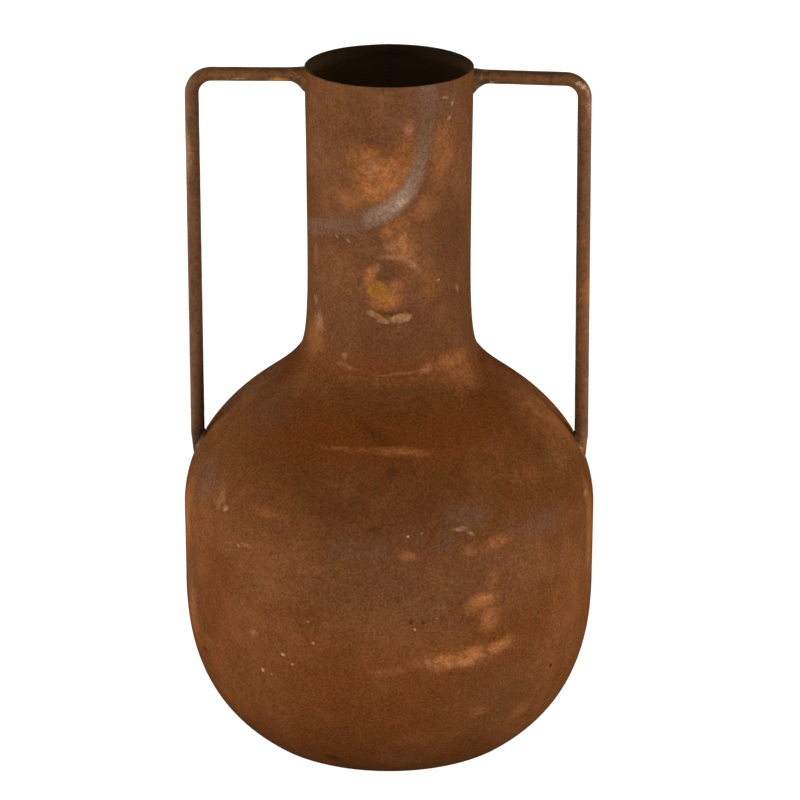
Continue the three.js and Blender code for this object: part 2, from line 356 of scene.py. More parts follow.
@dataclass(frozen=True)
class BodyForm:
    """The outline of the vase and the places of its seams, as the solids have them.

    A slope is measured from the outward horizontal, and a carry is how far it runs on into the
    curve beside it.
    """

    bowl_height: float = 90.0
    band_height: float = 60.0
    dome_height: float = 83.0
    neck_length: float = 167.0
    sheet: float = 1.2
    belly_radius: float = 120.0
    base_radius: float = 81.8
    neck_radius: float = 46.8
    neck_foot_flare: float = 4.4
    mouth_flare: float = 0.8
    band_lean_height: float = 13.2
    turn_out: float = 28.8
    turn_drop: float = 26.4
    waist_rise: float = 55.5
    base_slope: float = 38.0
    turn_slope: float = 143.0
    dome_top_slope: float = 123.0
    neck_foot_slope: float = 111.0
    mouth_slope: float = 88.5
    base_carry: float = 28.8
    bowl_top_carry: float = 47.7
    belly_carry: float = 35.1
    turn_carry_down: float = 18.9
    turn_carry_up: float = 14.6
    dome_top_carry: float = 13.0
    neck_foot_carry: float = 6.4
    waist_carry_down: float = 42.6
    waist_carry_up: float = 5.0
    mouth_carry: float = 20.0
    weld_width: float = 2.4
    step: float = 2.2

    @property
    def bowl_top(self) -> float:
        """Height of the seam over the bowl."""
        return self.bowl_height

    @property
    def band_top(self) -> float:
        """Height of the seam over the belly band."""
        return self.bowl_height + self.band_height

    @property
    def dome_top(self) -> float:
        """Height of the seam at the neck's foot."""
        return self.band_top + self.dome_height

    @property
    def rim(self) -> float:
        """Height of the mouth."""
        return self.dome_top + self.neck_length

    def _stretch(
        self, start: Point, leave: Point, end: Point, arrive: Point,
    ) -> list[Point]:
        """One smooth stretch of the outline, without its first point.

        Args:
            start: Its first point, radius and height.
            leave: The slope and the carry there.
            end: Its last point.
            arrive: The slope and the carry there.

        Returns:
            Its points, about a step apart.
        """
        def aside(point: Point, slope: float, reach: float) -> Point:
            """A point moved along a slope."""
            turn = math.radians(slope)
            return (point[0] + reach * math.cos(turn), point[1] + reach * math.sin(turn))

        knots = (start, aside(start, leave[0], leave[1]), aside(end, arrive[0], -arrive[1]), end)
        count = max(round(math.dist(start, end) / self.step), 2)
        points = []
        for index in range(1, count + 1):
            t = index / count
            weights = ((1 - t) ** 3, 3 * t * (1 - t) ** 2, 3 * t * t * (1 - t), t ** 3)
            points.append((
                sum(w * knot[0] for w, knot in zip(weights, knots)),
                sum(w * knot[1] for w, knot in zip(weights, knots))))
        return points

    @cached_property
    def outside(self) -> list[Point]:
        """The outside of the whole body.

        Returns:
            Its points, from the edge of the base to the rim.
        """
        foot_radius = self.neck_radius + self.neck_foot_flare
        base = (self.base_radius, 0.0)
        low = (self.belly_radius, self.bowl_top)
        high = (self.belly_radius, self.band_top - self.band_lean_height)
        turn = (foot_radius + self.turn_out, self.dome_top - self.turn_drop)
        foot = (foot_radius, self.dome_top)
        waist = (self.neck_radius, self.dome_top + self.waist_rise)
        mouth = (self.neck_radius + self.mouth_flare, self.rim)
        upright = 90.0
        return [
            base,
            *self._stretch(base, (self.base_slope, self.base_carry),
                           low, (upright, self.bowl_top_carry)),
            *self._stretch(low, (upright, self.step), high, (upright, self.step)),
            *self._stretch(high, (upright, self.belly_carry),
                           turn, (self.turn_slope, self.turn_carry_down)),
            *self._stretch(turn, (self.turn_slope, self.turn_carry_up),
                           foot, (self.dome_top_slope, self.dome_top_carry)),
            *self._stretch(foot, (self.neck_foot_slope, self.neck_foot_carry),
                           waist, (upright, self.waist_carry_down)),
            *self._stretch(waist, (upright, self.waist_carry_up),
                           mouth, (self.mouth_slope, self.mouth_carry)),
        ]

    @cached_property
    def inside(self) -> list[Point]:
        """The inner face of the sheet.

        Returns:
            Its points, each one thickness in from one of the outside.
        """
        points = []
        last = len(self.outside) - 1
        for index, (radius, height) in enumerate(self.outside):
            before = self.outside[max(index - 1, 0)]
            after = self.outside[min(index + 1, last)]
            length = math.dist(before, after)
            points.append((
                radius - self.sheet * (after[1] - before[1]) / length,
                height + self.sheet * (after[0] - before[0]) / length))
        return points

    @staticmethod
    def _radius(points: Sequence[Point], height: float) -> float:
        """The radius of an outline at a height.

        Args:
            points: The outline, from the bottom up.
            height: The height.

        Returns:
            The radius there.
        """
        index = bisect_left([point[1] for point in points], height)
        index = min(max(index, 1), len(points) - 1)
        low, high = points[index - 1], points[index]
        share = (height - low[1]) / (high[1] - low[1])
        return low[0] + (high[0] - low[0]) * share

    def radius(self, height: float) -> float:
        """The outer radius at a height."""
        return self._radius(self.outside, height)

    def inner_radius(self, height: float) -> float:
        """The inner radius at a height."""
        return self._radius(self.inside, height)

    def shoulder_height(self, radius: float) -> float:
        """The height at which the shoulder has come in to a radius.

        Args:
            radius: The radius, between the neck's foot and the belly.

        Returns:
            The height there.
        """
        shoulder = [p for p in self.outside if self.bowl_top < p[1] <= self.dome_top]
        for low, high in zip(shoulder, shoulder[1:]):
            if high[0] <= radius < low[0]:
                return low[1] + (high[1] - low[1]) * (low[0] - radius) / (low[0] - high[0])
        return self.band_top - self.band_lean_height

    def steepness(self, height: float) -> float:
        """The rise of the outline for each millimetre along it, at a height."""
        across = self.radius(height + self.step) - self.radius(height - self.step)
        return 2 * self.step / math.hypot(across, 2 * self.step)

    def between(self, points: Sequence[Point], low: float, high: float) -> list[Point]:
        """The part of an outline between two heights, cut square there.

        Args:
            points: The outline, from the bottom up.
            low: The lower height.
            high: The upper height.

        Returns:
            Its points, with one on each height.
        """
        margin = self.step / 4
        kept = [p for p in points if low + margin < p[1] < high - margin]
        return [(self._radius(points, low), low), *kept, (self._radius(points, high), high)]


@dataclass(frozen=True)
class Dents:
    """The slight unevenness that hand work leaves in sheet and bar, in millimetres."""

    slow_size: float
    slow_depth: float
    quick_size: float
    quick_depth: float

    def at(self, spot: Vector) -> float:
        """How far the surface stands out at a spot."""
        return (self.slow_depth * noise.noise(spot / self.slow_size)
                + self.quick_depth * noise.noise(spot / self.quick_size))


class MeshDraft:
    """Corners and faces of one closed mesh, gathered ring by ring in millimetres."""

    def __init__(self) -> None:
        """Starts with nothing."""
        self.corners: list[Vector] = []
        self.faces: list[tuple[int, ...]] = []
        self.finishes: list[int] = []

    def ring(self, points: Iterable[Vector]) -> list[int]:
        """Adds a ring of corners.

        Args:
            points: Their places.

        Returns:
            Their numbers.
        """
        first = len(self.corners)
        self.corners.extend(points)
        return list(range(first, len(self.corners)))

    def face(self, corners: tuple[int, ...], finish: int = 0) -> None:
        """Adds one face with one of the piece's finishes."""
        self.faces.append(corners)
        self.finishes.append(finish)

    def strip(
        self, first: Sequence[int], second: Sequence[int], finish: int = 0, wrap: bool = True,
    ) -> None:
        """Joins two matching rings with a strip of faces.

        Args:
            first: One ring's corners.
            second: The other's.
            finish: The number of the strip's finish.
            wrap: Whether the rings close on themselves.
        """
        count = len(first)
        for here in range(count if wrap else count - 1):
            beside = (here + 1) % count
            self.face((first[here], first[beside], second[beside], second[here]), finish)

    def shell(
        self, rings: Sequence[Sequence[Vector]], outer: int, around: bool = True,
        wrap: bool = True,
    ) -> list[list[int]]:
        """Adds a row of rings and joins each to the next.

        Args:
            rings: The rings, up the outer face and down the inner one.
            outer: How many of the strips between them have the outer finish.
            around: Whether the last ring is joined to the first.
            wrap: Whether the rings close on themselves.

        Returns:
            The corners of each ring.
        """
        placed = [self.ring(points) for points in rings]
        following = [*placed[1:], placed[0]] if around else placed[1:]
        for index, (first, second) in enumerate(zip(placed, following)):
            self.strip(first, second, 0 if index < outer else 1, wrap)
        return placed

    def fan(self, ring: Sequence[int], centre: Vector, finish: int = 0) -> None:
        """Closes a ring with triangles to a middle point.

        Args:
            ring: The ring's corners.
            centre: The middle point.
            finish: The number of their finish.
        """
        middle = self.ring([centre])[0]
        for here, beside in zip(ring, [*ring[1:], ring[0]]):
            self.face((here, beside, middle), finish)

    def loft(
        self, rings: Sequence[Sequence[Vector]], side_finishes: dict[int, int] | None = None,
    ) -> None:
        """Adds a solid through a row of rings and closes both ends.

        Args:
            rings: The rings, from one end to the other.
            side_finishes: The finish's number of each side that has another than the first.
        """
        placed = [self.ring(points) for points in rings]
        for first, second in zip(placed, placed[1:]):
            start = len(self.finishes)
            self.strip(first, second)
            for side, finish in (side_finishes or {}).items():
                self.finishes[start + side] = finish
        for ring, points in ((placed[0], rings[0]), (placed[-1], rings[-1])):
            self.fan(ring, sum(points, Vector()) / len(points))

    def made(
        self, name: str, finishes: Sequence[Material], sharp: float = 40.0,
    ) -> bpy.types.Object:
        """Makes the object, with its faces turned out and its curves shaded smooth.

        Args:
            name: The object's name.
            finishes: Its materials, in the order of the faces' numbers.
            sharp: The angle, in degrees, over which an edge stays sharp.

        Returns:
            The new object.
        """
        mesh = bpy.data.meshes.new(name)
        mesh.from_pydata([corner * MM for corner in self.corners], [], self.faces)
        for finish in finishes:
            mesh.materials.append(finish)
        mesh.polygons.foreach_set("material_index", self.finishes)
        shape = bmesh.new()
        shape.from_mesh(mesh)
        bmesh.ops.recalc_face_normals(shape, faces=shape.faces)
        shape.to_mesh(mesh)
        shape.free()
        mesh.shade_smooth()
        mesh.set_sharp_from_angle(angle=math.radians(sharp))
        piece = bpy.data.objects.new(name, mesh)
        bpy.context.collection.objects.link(piece)
        return piece


class Slot(Enum):
    """The record's material slots."""

    SHEET = "rust_sheet"
    BAR = "rust_bar"
    WELD = "rust_weld"


class Tone(Enum):
    """The tones that the rust shows over its ground colour. The orange bloom and the tan scuff
    also carry painted light, and the pale speck a painted highlight.
    """

    ORANGE_BLOOM = "orange bloom"
    TAN_SCUFF = "tan scuff"
    RED_RUST = "red rust"
    DARK_STAIN = "dark stain"
    OCHRE = "ochre"
    GREY_FILM = "grey film"
    BARE_METAL = "bare metal"
    PALE_SPECK = "pale speck"


@dataclass(frozen=True)
class ToneLook:
    """How one tone of the rust looks."""

    colour: Colour
    cover: float
    ragged: float
    roughness: float = 0.0


TONE_LOOKS = {
    Tone.RED_RUST: ToneLook(srgb(113, 58, 20), 0.9, 0.3),
    Tone.ORANGE_BLOOM: ToneLook(srgb(157, 97, 53), 0.92, 0.45),
    Tone.GREY_FILM: ToneLook(srgb(104, 75, 56), 0.9, 0.4),
    Tone.BARE_METAL: ToneLook(srgb(144, 113, 93), 0.9, 0.4, roughness=-0.08),
    Tone.TAN_SCUFF: ToneLook(srgb(152, 106, 73), 0.9, 0.5, roughness=0.03),
    Tone.OCHRE: ToneLook(srgb(152, 96, 36), 0.9, 0.4),
    Tone.DARK_STAIN: ToneLook(srgb(60, 34, 13), 0.7, 0.4),
    # Pale specks, and the colour of a painted highlight on the neck.
    Tone.PALE_SPECK: ToneLook(srgb(178, 144, 118), 0.85, 0.3),
}


@dataclass(frozen=True)
class Mark:
    """One soft-edged oval of a tone on the body, in degrees and millimetres.

    The width and the length are those on the metal. The lean turns it anticlockwise.
    """

    angle: float
    height: float
    wide: float
    tall: float
    lean: float = 0.0
    strength: float = 1.0
    soft: float = 0.7


@dataclass(frozen=True)
class Stroke:
    """One long curved stroke of a tone, given round a centre beside it.

    The reach is the distance from the centre, in hundreds of millimetres, along the turn from
    its start at 0 to its end at 1. The weight is its strength along the same turn. The hairs
    are the fine streaks in it.
    """

    tone: Tone
    centre_across: float
    centre_height: float
    start: float
    end: float
    half_width: float
    reach: tuple[Point, ...]
    weight: tuple[Point, ...]
    hair_length: float = 0.02
    hair_width: float = 0.004
    hair_size: float = 1.6


Marks = dict[Tone, list[Mark]]


@dataclass(frozen=True)
class Scatter:
    """Marks like those of the front, scattered over the sides and the back."""

    spacing: float
    radius: float
    share: float


SCATTERS = {
    Tone.ORANGE_BLOOM: Scatter(spacing=44.0, radius=17.0, share=0.55),
    Tone.TAN_SCUFF: Scatter(spacing=27.0, radius=6.0, share=0.45),
    Tone.RED_RUST: Scatter(spacing=70.0, radius=26.0, share=0.4),
    Tone.DARK_STAIN: Scatter(spacing=33.0, radius=10.0, share=0.4),
    Tone.OCHRE: Scatter(spacing=52.0, radius=9.0, share=0.2),
    Tone.GREY_FILM: Scatter(spacing=60.0, radius=22.0, share=0.5),
    Tone.BARE_METAL: Scatter(spacing=75.0, radius=8.0, share=0.12),
    Tone.PALE_SPECK: Scatter(spacing=21.0, radius=1.1, share=0.3),
}


@dataclass(frozen=True)
class Finish:
    """What every finish starts from: its name, the bench of its material, and the place."""

    name: str

    @cached_property
    def bench(self) -> NodeBench:
        """The bench of the finish's own material."""
        return NodeBench(bpy.data.materials.new(self.name))

    @cached_property
    def place(self) -> Wire:
        """The place on the object, from which every noise is looked up."""
        return self.bench.place()

    def cloud(self, size: float, detail: float, roughness: float = 0.5) -> Wire:
        """Soft noise over the object, with features of a size in millimetres."""
        return self.bench.cloud(self.place, size, detail, roughness)


@dataclass(frozen=True)
class RustedSheet(Finish):
    """Rust on sheet iron: mottled brown and orange, with the marks of handling on it, with
    painted shade by height, and with a few marks of painted light.
    """

    form: BodyForm
    ground_radius: float
    low: float
    high: float
    marks: Marks
    strokes: tuple[Stroke, ...] = ()
    margin: float = 8.0
    front: float = 80.0
    front_blend: float = 12.0
    deep: Colour = srgb(96, 53, 25)
    ground: Colour = srgb(108, 63, 33)
    warm: Colour = srgb(117, 71, 39)
    olive: Colour = srgb(97, 62, 27)
    specular: float = 0.0
    roughness: float = 0.6
    patch_size: float = 60.0
    blotch_size: float = 10.0
    mottle_size: float = 6.0
    flake_size: float = 4.0
    grain_size: float = 1.5
    grain_depth: float = 0.28
    ragged_edges: tuple[Point, ...] = ((8.0, 1.3), (1.8, 0.8))
    scatter_squeeze: Triple = (0.8, 0.8, 1.35)
    scatter_shift: float = 0.01
    scatter_soft: float = 0.8
    # Painted shade by height, from the base (0) to the rim (1): darker low on the bowl, where it
    # faces down, and over the up-facing dome, where less light falls; on the dome partly the
    # rust's own darker tone.
    painted_shade_by_height: tuple[Point, ...] = (
        (0.0, 0.8), (0.1, 0.9), (0.2, 0.99), (0.28, 1.04), (0.35, 1.03), (0.4, 0.92),
        (0.45, 0.89), (0.55, 0.88), (0.62, 0.93), (1.0, 0.92))
    pit_spacing: float = 6.0
    pit_radius: float = 0.5
    pit_share: float = 0.12
    pit_strength: float = 0.7
    scale_size: float = 1.4
    swell_size: float = 7.0
    relief_depth: float = 0.25

    def dress(self) -> Material:
        """Builds the finish.

        Returns:
            Its material.
        """
        bench = self.bench
        patches = self.cloud(self.patch_size, 3.0, 0.6)
        blotches = self.cloud(self.blotch_size, 4.0, 0.6)
        grain = self.cloud(self.grain_size, 3.0, 0.8)
        tone = 0.7 * patches + 0.3 * blotches
        colour = bench.mix(tone.rise(0.66, 0.36), self.ground, self.deep)
        colour = bench.mix(tone.rise(0.46, 0.74), colour, self.warm)
        mottle = self.cloud(self.mottle_size, 2.0)
        colour = bench.mix(mottle.rise(0.45, 0.65, 0.6), colour, self.olive)
        flat, round_turn = self._flat()
        sides = round_turn.size().rise(
            self.front - self.front_blend, self.front + self.front_blend)
        flakes = self.cloud(self.flake_size, 3.0, 0.6)
        rag = (0.5 * blotches + 0.4 * flakes + 0.1 * grain).rise(0.36, 0.64)
        roughness: Wire = self.roughness + 0.25 * (blotches - 0.5)
        for tone_name, look in TONE_LOOKS.items():
            cover = self._cover(flat, tone_name, sides)
            share = cover * (look.cover * (1 - look.ragged) + 2 * look.cover * look.ragged * rag)
            colour = bench.mix(share, colour, look.colour)
            if look.roughness:
                roughness = roughness + look.roughness * share
        pits = self._pits() * self.pit_strength
        colour = bench.mix(pits, colour, TONE_LOOKS[Tone.DARK_STAIN].colour)
        height = bench.parts(self.place).beside("Z") / (self.form.rim * MM)
        # Painted shade by height, times the grain.
        shade = bench.curve(height, self.painted_shade_by_height)
        shade = shade * (1 - self.grain_depth + 2 * self.grain_depth * grain.rise(0.3, 0.7))
        colour = bench.mix(1.0, colour, shade, "MULTIPLY")
        return bench.finish(colour, roughness, self._relief(), self.relief_depth, self.specular)

    def _flat(self) -> tuple[Wire, Wire]:
        """The place on the unrolled body: across and up, in millimetres, with ragged edges.

        Returns:
            The place on the unrolled body, and the turn from the front in degrees.
        """
        bench = self.bench
        across = bench.parts(self.place)
        turn = across.math("ARCTAN2", -1.0 * across.beside("Y"))
        flat = bench.node(
            "ShaderNodeCombineXYZ", None,
            {"X": turn * self.ground_radius, "Y": across.beside("Z") / MM, "Z": 0.0})
        for size, shift in self.ragged_edges:
            swirl = bench.cloud(self.place, size, 1.0, output="Color")
            swirl = bench.vector("SUBTRACT", swirl, (0.5, 0.5, 0.5))
            flat = bench.vector("MULTIPLY_ADD", swirl, (shift * 2, shift * 2, 0.0), flat)
        return flat, turn * math.degrees(1)

    def _cover(self, flat: Wire, tone: Tone, sides: Wire) -> Wire:
        """How strongly one tone covers the metal.

        Each mark joins the others as soon as its nodes are made. The renderer works through the
        nodes in the order in which they were added, and has room for few results that still wait.

        Args:
            flat: The place on the unrolled body.
            tone: The tone.
            sides: How much of the scattered marks shows, none of them on the front.

        Returns:
            Its cover from 0 to 1.
        """
        scatter = SCATTERS[tone]
        own_shift = (self.scatter_shift * len(tone.value), 0, 0)
        wide = self.bench.vector("MULTIPLY_ADD", self.place, self.scatter_squeeze, own_shift)
        cover = sides * self.bench.specks(
            wide, scatter.spacing, scatter.radius, scatter.share, self.scatter_soft)
        for mark in self.marks.get(tone, []):
            reach = mark.tall / 2 + mark.wide * abs(math.sin(math.radians(mark.lean))) / 2
            if self.low - self.margin < mark.height + reach and (
                    mark.height - reach < self.high + self.margin):
                cover = cover.largest(self._oval(flat, mark))
        for stroke in self.strokes:
            if stroke.tone is tone:
                cover = cover.largest(self._brushed(flat, stroke))
        return cover

    def _oval(self, flat: Wire, mark: Mark) -> Wire:
        """The cover of one mark.

        Args:
            flat: The place on the unrolled body.
            mark: The mark.

        Returns:
            Its cover from 0 to its strength.
        """
        spread = self.ground_radius / self.form.radius(mark.height)
        across = math.radians(mark.angle) * self.ground_radius
        scale = (mark.wide / 2 * spread, mark.tall / 2 * self.form.steepness(mark.height), 1.0)
        reach = self.bench.reach(flat, (across, mark.height, 0.0), scale, mark.lean)
        return reach.rise(1.0 + mark.soft / 2, 1.0 - mark.soft, mark.strength)

    def _brushed(self, flat: Wire, stroke: Stroke) -> Wire:
        """The cover of one long stroke.

        Args:
            flat: The place on the unrolled body.
            stroke: The stroke.

        Returns:
            Its cover from 0 to 1.
        """
        bench = self.bench
        arm = bench.vector("SUBTRACT", flat, (stroke.centre_across, stroke.centre_height, 0.0))
        across = bench.parts(arm)
        turn = across.beside("Y").math("ARCTAN2", across) * math.degrees(1)
        along = (turn - stroke.start) / (stroke.end - stroke.start)
        reach = bench.curve(along, stroke.reach)
        weight = bench.curve(along, stroke.weight)
        aside = (bench.length(arm) - 100 * reach) / stroke.half_width
        inside = (along - 0.5).size().rise(0.52, 0.49)
        brushed = bench.node(
            "ShaderNodeCombineXYZ", None,
            {"X": along * stroke.hair_length, "Y": aside * stroke.hair_width, "Z": 0.0})
        streaks = bench.cloud(brushed, stroke.hair_size, 2.0).rise(0.3, 0.6)
        return aside.size().rise(1.35, 0.3) * weight * inside * (0.85 + 0.15 * streaks)

    def _pits(self) -> Wire:
        """The small pits in the rust, 1 in them and 0 between them."""
        return self.bench.specks(self.place, self.pit_spacing, self.pit_radius, self.pit_share)

    def _relief(self) -> Wire:
        """The fine relief of the rust, kept apart from its colours.

        Returns:
            The height, 0 to 1.
        """
        scale = self.cloud(self.scale_size, 3.0, 0.6)
        swell = self.cloud(self.swell_size, 1.0)
        pits = self._pits()
        return 0.35 * scale + 0.5 * swell - 0.3 * pits


@dataclass(frozen=True)
class InsideWithPaintedLight(Finish):
    """The inside of the vase: dark at the rim and paler a few millimetres down. This is painted
    shade where the lamps strike the top of the wall, and painted light below it, where little
    light reaches down the neck.
    """

    form: BodyForm
    dark: Colour = srgb(47, 35, 19)
    brown: Colour = srgb(55, 41, 23)
    # Painted light: the paler colour that the inner wall takes a short drop below the rim.
    deep: Colour = srgb(112, 84, 50)
    painted_light_drop: float = 11.0
    patch_size: float = 16.0
    grain_size: float = 1.2
    roughness: float = 0.82
    relief_depth: float = 0.3
    specular: float = 0.04

    def dress(self) -> Material:
        """Builds the finish.

        Returns:
            Its material.
        """
        bench = self.bench
        patches = self.cloud(self.patch_size, 4.0, 0.6)
        grain = self.cloud(self.grain_size, 2.0, 0.6)
        colour = bench.mix(patches.rise(0.42, 0.64), self.dark, self.brown)
        height = bench.parts(self.place).beside("Z")
        rim, painted_light_from = self.form.rim * MM, (self.form.rim - self.painted_light_drop) * MM
        # Painted shade at the rim and painted light below it: the colour turns from dark at the
        # rim to the paler deep colour.
        colour = bench.mix(height.rise(rim, painted_light_from), colour, self.deep)
        roughness = self.roughness + 0.2 * (grain - 0.5)
        relief = 0.6 * patches + 0.4 * grain
        return bench.finish(colour, roughness, relief, self.relief_depth, self.specular)


@dataclass(frozen=True)
class RubOrPaintedLight:
    """A spot on a bar where its tone differs, given by a place and a reach in millimetres. Most
    are rust and wear; some are painted shade and painted light.
    """

    place: Triple
    reach: Triple
    colour: Colour
    strength: float


@dataclass(frozen=True)
class RustedBar(Finish):
    """Rust on hot-rolled bar: dark brown with an olive cast, rubbed pale on the bends, with spots
    of painted shade and painted light.
    """

    rubs_and_painted_light: tuple[RubOrPaintedLight, ...]
    dark: Colour = srgb(77, 47, 25)
    olive: Colour = srgb(99, 63, 34)
    warm: Colour = srgb(130, 78, 41)
    stretch: Triple = (0.6, 1.0, 0.25)
    patch_size: float = 7.0
    blotch_size: float = 3.2
    grain_size: float = 0.8
    grain_depth: float = 0.16
    roughness: float = 0.56
    relief_depth: float = 0.22
    specular: float = 0.1

    def dress(self) -> Material:
        """Builds the finish.

        Returns:
            Its material.
        """
        bench = self.bench
        streaky = bench.vector("MULTIPLY", self.place, self.stretch)
        patches = bench.cloud(streaky, self.patch_size, 4.0, 0.6)
        blotches = self.cloud(self.blotch_size, 3.0, 0.6)
        grain = self.cloud(self.grain_size, 2.0, 0.6)
        tone = 0.5 * patches + 0.5 * blotches
        colour = bench.mix(tone.rise(0.52, 0.36), self.olive, self.dark)
        colour = bench.mix(tone.rise(0.53, 0.66), colour, self.warm)
        rag = (0.5 * blotches + 0.5 * grain).rise(0.4, 0.6)
        # Spots of rust and wear, and spots of painted shade and painted light.
        for rub_or_light in self.rubs_and_painted_light:
            middle, half_sizes = ([part * MM for part in size] for size in (rub_or_light.place, rub_or_light.reach))
            near = bench.reach(self.place, middle, half_sizes).rise(1.0, 0.3, rub_or_light.strength)
            colour = bench.mix(near * (0.5 + 0.7 * rag), colour, rub_or_light.colour)
        faint, strong = (
            (level, level, level, 1.0) for level in (1 - self.grain_depth, 1 + self.grain_depth))
        shade = bench.mix(grain.rise(0.3, 0.7), faint, strong)
        colour = bench.mix(1.0, colour, shade, "MULTIPLY")
        roughness = self.roughness + 0.3 * (blotches - 0.5)
        relief = 0.6 * blotches + 0.4 * grain
        return bench.finish(colour, roughness, relief, self.relief_depth, self.specular)


@dataclass(frozen=True)
class WeldMetal(Finish):
    """Weld metal: rough, olive brown, with orange rust in its hollows."""

    dark: Colour = srgb(60, 40, 18)
    olive: Colour = srgb(86, 58, 27)
    orange: Colour = srgb(150, 94, 44)
    patch_size: float = 5.0
    grain_size: float = 1.1
    roughness: float = 0.64
    relief_depth: float = 0.3
    specular: float = 0.1

    def dress(self) -> Material:
        """Builds the finish.

        Returns:
            Its material.
        """
        bench = self.bench
        patches = self.cloud(self.patch_size, 3.0, 0.6)
        grain = self.cloud(self.grain_size, 3.0, 0.65)
        colour = bench.mix(patches.rise(0.55, 0.38), self.olive, self.dark)
        colour = bench.mix((0.6 * patches + 0.4 * grain).rise(0.53, 0.63), colour, self.orange)
        roughness = self.roughness + 0.3 * (grain - 0.5)
        relief = 0.5 * patches + 0.5 * grain
        return bench.finish(colour, roughness, relief, self.relief_depth, self.specular)


@dataclass(frozen=True)
class BodyFinishes:
    """The finishes of the body: each shell's outside, all the insides, and weld metal."""

    bowl: Material
    band: Material
    dome: Material
    neck: Material
    inside: Material
    weld: Material


def seat(piece: bpy.types.Object, node: str) -> None:
    """Puts a piece in the place of a solid, and reports it.

    Args:
        piece: The piece.
        node: The solid that it stands for.
    """
    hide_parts(node)
    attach(piece, BODY)
    log.info("%s stands for %s, %d faces", piece.name, node, len(piece.data.polygons))


def round_spot(angle: float, radius: float, height: float) -> Vector:
    """A spot on the body, by its angle from the front in radians, its radius and its height."""
    return Vector((radius * math.sin(angle), -radius * math.cos(angle), height))


